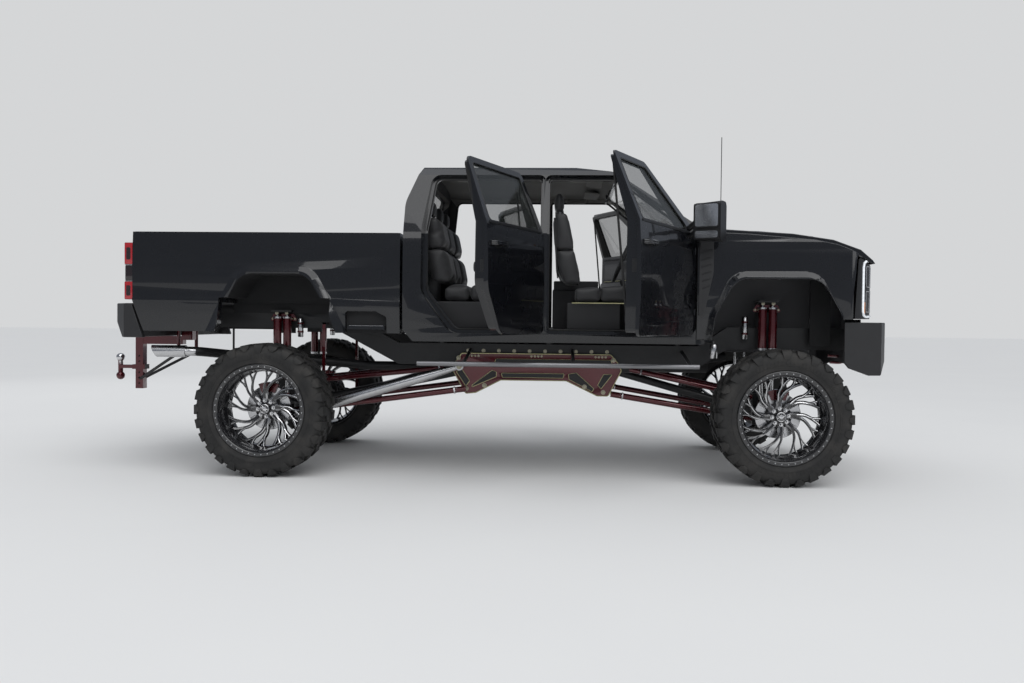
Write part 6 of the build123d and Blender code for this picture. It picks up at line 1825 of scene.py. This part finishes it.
def lay_controls(form):
    """Column stalks, pedals, mirror, visors and grab handles."""
    form.use("trim")
    form.tube([(1.335, 0.40, 1.785), (1.325, 0.55, 1.800)], 0.007, 8)
    form.tube([(1.335, 0.38, 1.785), (1.325, 0.23, 1.800)], 0.007, 8)
    for y, high in ((0.30, 1.330), (0.43, 1.350)):
        form.box((1.560, y - 0.032, high - 0.05), (1.572, y + 0.032, high + 0.05))
        form.tube([(1.572, y, high), (1.640, y, 1.56)], 0.008, 8)
    form.prism(plaque(-0.11, 2.300, 0.11, 2.360, 0.02), "x", 1.110, 1.125)
    form.tube([(1.122, 0.0, 2.350), (1.150, 0.0, 2.420)], 0.006, 8)
    form.use("chrome")
    form.prism(plaque(-0.105, 2.305, 0.105, 2.355, 0.018), "x", 1.108, 1.1105)
    form.use("headliner")
    visor = rounded([(0.930, 2.418), (1.060, 2.404), (1.063, 2.414), (0.933, 2.428)], 0.004)
    for y in (-0.40, 0.40):
        form.prism(visor, "y", y - 0.20, y + 0.20)
    for side in (-1, 1):
        for x in (0.86, -0.05):
            y = side * 0.690
            grip = [(x - 0.09, y, 2.425), (x - 0.08, y, 2.392), (x + 0.08, y, 2.392), (x + 0.09, y, 2.425)]
            form.tube(smooth_path(grip, 13), 0.009, 8)


def lay_belts(form):
    """Webbing down the middle posts, with its guides and reels."""
    post_x, top_y, low_y = 0.591, wall_y(2.15, 0.140, 0.082), 0.850
    band = ((-0.020, 0), (0.020, 0), (0.020, -0.002), (-0.020, -0.002))
    for side in (-1, 1):
        form.use("webbing")
        strap = ((top_y - 0.008, 2.150), (low_y - 0.006, 1.62), (low_y - 0.004, 1.26))
        form.loft([[Vector((post_x + u, side * (y + v), z)) for u, v in band] for y, z in strap])
        form.use("plastic")
        for half, inner, outer, low, high in (
            (0.022, top_y - 0.014, top_y + 0.012, 2.120, 2.180),
            (0.020, low_y - 0.012, low_y + 0.022, 1.215, 1.300),
        ):
            y0, y1 = sorted((side * inner, side * outer))
            form.box((post_x - half, y0, low), (post_x + half, y1, high))


def build_cabin():
    """Small pieces of the cabin, and bare rails beside the front seats."""
    form = Form("plastic")
    lay_dashboard(form)
    lay_console(form)
    lay_controls(form)
    lay_belts(form)
    # rails in the metal whose yellow tint is a painted reflection of grass
    form.use("metal_painted_reflection")
    for y in (-SEAT_Y, SEAT_Y):
        form.tube([(SEAT_X + 0.10, y - 0.238, 1.398), (SEAT_X + 0.545, y - 0.238, 1.398)], 0.004, 6)
    form.done("cabin_detail", "truck", bevel=0.0012, steps=1)


def build_steering_wheel():
    """Rim, hub and three spokes on the column, square to its axis."""
    centre, axis = Vector((1.2797, 0.390, 1.800)), Vector((-1, 0, 0.42)).normalized()
    up = Vector((0, 1, 0)).cross(axis).normalized()
    up = up if up.z > 0 else -up
    turn = Matrix((Vector((0, 1, 0)), up, axis)).transposed().to_4x4()
    place = Matrix.Translation(centre) @ turn
    form = Form("leather")
    form.tube([(a, b, 0.0) for a, b in circle(0.188, 72)], 0.0155, 14, ring=True)
    form.use("panel")
    hub = [(0.0, 0.020), (0.035, 0.018), (0.052, 0.006), (0.050, -0.017), (0.0, -0.017)]
    form.lathe(hub, "z", (0, 0, 0), 32)
    form.use("milled")
    for a in (0, 180, 270):
        t = math.radians(a)
        run, over = Vector((math.cos(t), math.sin(t), 0)), Vector((-math.sin(t), math.cos(t), 0))
        form.loft([
            [run * r + over * w * u + Vector((0, 0, h * v)) for u, v in ((-1, -1), (1, -1), (1, 1), (-1, 1))]
            for r, w, h in ((0.045, 0.022, 0.007), (0.110, 0.015, 0.006), (0.180, 0.014, 0.005))
        ])
    mesh = form.to_mesh("steering_wheel_form")
    mesh.transform(place)
    column = Form("plastic")
    column.tube([centre - axis * 0.010, centre - axis * 0.130], 0.032, 20)
    column.add_mesh(mesh)
    column.done("steering_wheel_dressed", "truck", bevel=0.001, steps=1, replaces="steering_wheel")


build_cabin()
build_steering_wheel()


# Wheels
LUG_PAIRS = 14
RIVETS = 43
SPOKES = 8


def tyre_carcass():
    """Casing turned round the axle; outboard is -Y."""
    half = TYRE_HALF
    profile = [
        (0.352, -half + 0.040), (0.360, -half + 0.022), (0.372, -half + 0.013), (0.384, -half + 0.012),
        (0.390, -half + 0.009), (0.410, -half + 0.006), (0.440, -half + 0.005), (0.466, -half + 0.007),
        (0.486, -half + 0.014), (0.499, -half + 0.030), (0.5055, -half + 0.055),
    ]
    profile += [(0.5075, 0.0)] + [(r, -y) for r, y in reversed(profile)]
    profile += [(0.346, half - 0.045), (0.346, -half + 0.045)]
    form = Form("rubber")
    form.lathe(profile + [profile[0]], "y", (0, 0, 0), 112)
    return form


def lug(stations, form):
    """Rubber block over the shoulder: stations of (radius, y, half width, shift, depth, lean)."""
    rings = []
    for radius, y, half_w, shift, depth, lean in stations:
        ring = []
        foot = half_w + 0.004
        for across, drop in ((-half_w, 0.0), (half_w, 0.0), (foot, depth), (-foot, depth)):
            turn = (shift + across) / TYRE_R
            r = radius - drop * math.cos(lean)
            inward = y + drop * math.sin(lean)
            ring.append((r * math.sin(turn), inward, r * math.cos(turn)))
        rings.append(ring)
    form.loft(rings)


def tread_blocks():
    """Shoulder and centre blocks of the mud tyre."""
    pitch = 2 * math.pi * TYRE_R / (2 * LUG_PAIRS)
    half = TYRE_HALF
    form = Form("rubber")
    for side in (-1, 1):
        offset = 0.0 if side < 0 else pitch * 0.5
        for kind in (0, 1):
            shift = offset + kind * pitch
            reach = 0.0 if kind else 0.012
            lean, less = -side, 0.002 * kind
            lug([
                (TYRE_R - 0.001, side * (half - 0.098 + reach), 0.030, shift + 0.010, 0.020, 0.0),
                (TYRE_R, side * (half - 0.066), 0.034, shift, 0.020, lean * 0.1),
                (TYRE_R - 0.0015, side * (half - 0.036), 0.035, shift, 0.020, lean * 0.5),
                (TYRE_R - 0.011, side * (half - 0.014), 0.036, shift, 0.018, lean * 0.9),
                (TYRE_R - 0.030, side * (half - 0.0035), 0.033, shift, 0.014, lean * 1.3),
                (TYRE_R - 0.058 + 8 * less, side * (half - 0.0005), 0.027 - 4 * less, shift, 0.010,
                 lean * 1.5),
                (TYRE_R - 0.074 + 10 * less, side * (half - 0.003), 0.020 - 3 * less, shift, 0.005,
                 lean * 1.5),
            ], form)
    for side in (-1, 1):
        offset = pitch * (0.5 if side < 0 else 0.0)
        for kind in (0, 1):
            shift = offset + kind * pitch
            skew = side * 0.012
            lug([
                (TYRE_R, side * 0.090, 0.016, shift + skew, 0.019, 0.0),
                (TYRE_R, side * 0.066, 0.028, shift, 0.019, 0.0),
                (TYRE_R, side * 0.040, 0.026, shift - skew, 0.019, 0.0),
                (TYRE_R, side * 0.012, 0.017, shift - 2 * skew, 0.019, 0.0),
            ], form)
    return form


def blade(form, path, widths, depths, roll):
    """Wheel spoke: dark top, milled flanks, along points of (radius, angle, y)."""
    dark, bright = form.finishes.index("rim"), form.finishes.index("milled")
    points = [Vector((r * math.sin(t), y, r * math.cos(t))) for r, t, y in path]
    rings = []
    for i, point in enumerate(points):
        run = (points[min(i + 1, len(points) - 1)] - points[max(i - 1, 0)]).normalized()
        out = Vector((0, -1, 0))
        out = (out - run * out.dot(run)).normalized()
        out = Matrix.Rotation(roll[i], 3, run) @ out
        across = run.cross(out)
        w, d = widths[i], depths[i]
        section = ((-0.42 * w, 0), (0.42 * w, 0), (w, -0.45 * w), (0.92 * w, -d), (-0.92 * w, -d),
                   (-w, -0.45 * w))
        rings.append([point + across * a + out * b for a, b in section])
    form.loft(rings, slots=[dark, bright, dark, dark, dark, bright])


HUB_Y = -TYRE_HALF + 0.205


def spoke_form():
    """One split, swept spoke with its forked tips, pointing up."""
    form = Form("rim", "milled")
    deg = math.radians
    routes = (
        # radius, angle, y of the points; half widths; depths; roll
        ([(0.070, deg(-6), HUB_Y - 0.004), (0.110, deg(-4), HUB_Y - 0.010), (0.150, deg(1), HUB_Y - 0.013)],
         (0.024, 0.021, 0.015), (0.045, 0.042, 0.036), (0.0, 0.0, 0.1)),
        ([(0.125, deg(-5), HUB_Y - 0.012), (0.180, deg(-3), HUB_Y - 0.012), (0.235, deg(4), HUB_Y - 0.018),
          (0.305, deg(13), HUB_Y - 0.040)],
         (0.011, 0.0095, 0.009, 0.008), (0.034, 0.034, 0.036, 0.040), (0.15, 0.3, 0.35, 0.3)),
        ([(0.125, deg(1), HUB_Y - 0.012), (0.175, deg(8), HUB_Y - 0.014), (0.230, deg(19), HUB_Y - 0.020),
          (0.305, deg(33), HUB_Y - 0.034)],
         (0.012, 0.011, 0.0095, 0.008), (0.034, 0.034, 0.034, 0.036), (0.1, 0.25, 0.35, 0.3)),
        ([(0.222, deg(2), HUB_Y - 0.018), (0.262, deg(3), HUB_Y - 0.024), (0.305, deg(2), HUB_Y - 0.034)],
         (0.008, 0.007, 0.007), (0.030, 0.030, 0.030), (0.2, 0.2, 0.2)),
        ([(0.228, deg(18.5), HUB_Y - 0.020), (0.266, deg(21), HUB_Y - 0.026),
          (0.305, deg(21), HUB_Y - 0.034)],
         (0.008, 0.007, 0.007), (0.028, 0.028, 0.028), (0.2, 0.2, 0.2)),
    )
    for path, widths, depths, roll in routes:
        count = 4 * (len(path) - 1) + 1
        sizes = zip(*smooth_path(list(zip(widths, depths, roll)), count))
        blade(form, smooth_path(path, count), *sizes)
    return form


def turned_copy(mesh, count):
    """Mesh joined with its copies turned round the axle, finishes kept."""
    form = Form()
    for k in range(count):
        form.add_mesh(mesh, Matrix.Rotation(2 * math.pi * k / count, 4, "Y"))
    return form


def wheel_centre():
    """Deep barrel, lip, spokes, hub, cap and fasteners; outboard is -Y."""
    half = TYRE_HALF
    spoke = spoke_form().to_mesh("spoke")
    form = turned_copy(spoke, SPOKES)
    form.use("rim")
    barrel = [
        (0.358, -half + 0.011), (0.362, -half + 0.014), (0.361, -half + 0.024), (0.3515, -half + 0.030),
        (0.3515, -half + 0.048), (0.335, -half + 0.062), (0.330, 0.02), (0.336, half - 0.06),
        (0.3515, half - 0.048), (0.3515, half - 0.02), (0.342, half - 0.018), (0.340, half - 0.044),
        (0.322, half - 0.062), (0.316, 0.06), (0.296, HUB_Y + 0.01), (0.300, HUB_Y - 0.050),
        (0.306, HUB_Y - 0.060), (0.313, -half + 0.09), (0.321, -half + 0.030), (0.329, -half + 0.016),
        (0.334, -half + 0.012),
    ]
    form.lathe(barrel + [barrel[0]], "y", (0, 0, 0), 96)
    back = TYRE_Y - 0.907
    hub = [
        (0.0, HUB_Y - 0.004), (0.066, HUB_Y - 0.004), (0.074, HUB_Y), (0.092, HUB_Y + 0.012),
        (0.092, back), (0.0, back),
    ]
    form.lathe(hub, "y", (0, 0, 0), 48)
    cap = [
        (0.0, HUB_Y - 0.046), (0.030, HUB_Y - 0.045), (0.040, HUB_Y - 0.040), (0.046, HUB_Y - 0.030),
        (0.048, HUB_Y - 0.002),
    ]
    form.lathe(cap, "y", (0, 0, 0), 40)
    form.use("milled")
    bright = [
        (0.0, HUB_Y - 0.0475), (0.012, HUB_Y - 0.0475), (0.014, HUB_Y - 0.0465), (0.0, HUB_Y - 0.0455),
    ]
    form.lathe(bright, "y", (0, 0, 0), 24)
    rim_line = [
        (0.0315, HUB_Y - 0.0452), (0.0335, HUB_Y - 0.0465), (0.0365, HUB_Y - 0.0450),
        (0.0375, HUB_Y - 0.0425), (0.0315, HUB_Y - 0.0425), (0.0315, HUB_Y - 0.0452),
    ]
    form.lathe(rim_line, "y", (0, 0, 0), 40)
    ray = Form("milled")
    ray.mesh(
        [(-0.0035, HUB_Y - 0.0462, 0.012), (0.0035, HUB_Y - 0.0462, 0.012), (0.0015, HUB_Y - 0.0462, 0.032),
         (-0.0015, HUB_Y - 0.0462, 0.032), (0.0, HUB_Y - 0.0482, 0.013), (0.0, HUB_Y - 0.0475, 0.031)],
        [[0, 4, 5, 3], [4, 1, 2, 5], [0, 1, 4], [3, 5, 2], [0, 3, 2, 1]],
    )
    form.add_mesh(ring_of(ray, "milled", 10))
    rivet = Form("milled")
    rivet.lathe(
        [(0.0, -0.0052), (0.0038, -0.0044), (0.0056, -0.0022), (0.0062, 0.0012)], "y",
        (0, -half + 0.0135, 0.3445), 10,
    )
    form.add_mesh(ring_of(rivet, "milled", RIVETS))
    nut = Form("rim")
    nut.bolt((0, HUB_Y - 0.006, 0.0635), (0, -1, 0), 0.0105, 0.026)
    form.add_mesh(ring_of(nut, "chrome", SPOKES, math.radians(-6)))
    return form


def build_wheels():
    """Four tyres and rims, from one tyre and one wheel centre."""
    blocks = repeat(
        RING_TREE, tread_blocks().to_mesh("tread"), Count=LUG_PAIRS, Start_angle=0.0,
        Material=FINISH["rubber"],
    )
    tyre = tyre_carcass().add_mesh(blocks)
    raised = Form("rubber")
    raised.lathe(
        [(0.404, -TYRE_HALF + 0.0065), (0.4045, -TYRE_HALF + 0.004), (0.408, -TYRE_HALF + 0.004),
         (0.4085, -TYRE_HALF + 0.0065)], "y", (0, 0, 0), 112,
    )
    tyre.add_mesh(raised.to_mesh("raised_line"))
    rib = Form("rubber")
    rib.box((-0.004, -TYRE_HALF + 0.0028, 0.417), (0.004, -TYRE_HALF + 0.008, 0.437))
    tyre.add_mesh(ring_of(rib, "rubber", 90))
    tyre_mesh = tyre.to_mesh("tyre")
    rim_mesh = wheel_centre().to_mesh("rim")
    for end, axle_x in AXLES:
        for label, side in SIDES:
            body = f"wheel_{end}_{label}"
            for kind, mesh in (("tyre", tyre_mesh), ("rim", rim_mesh)):
                name = f"{kind}_{end}_{label}"
                finish_piece(at_wheel(mesh, axle_x, side), name + "_dressed", body, sharp=32, replaces=name)


build_wheels()
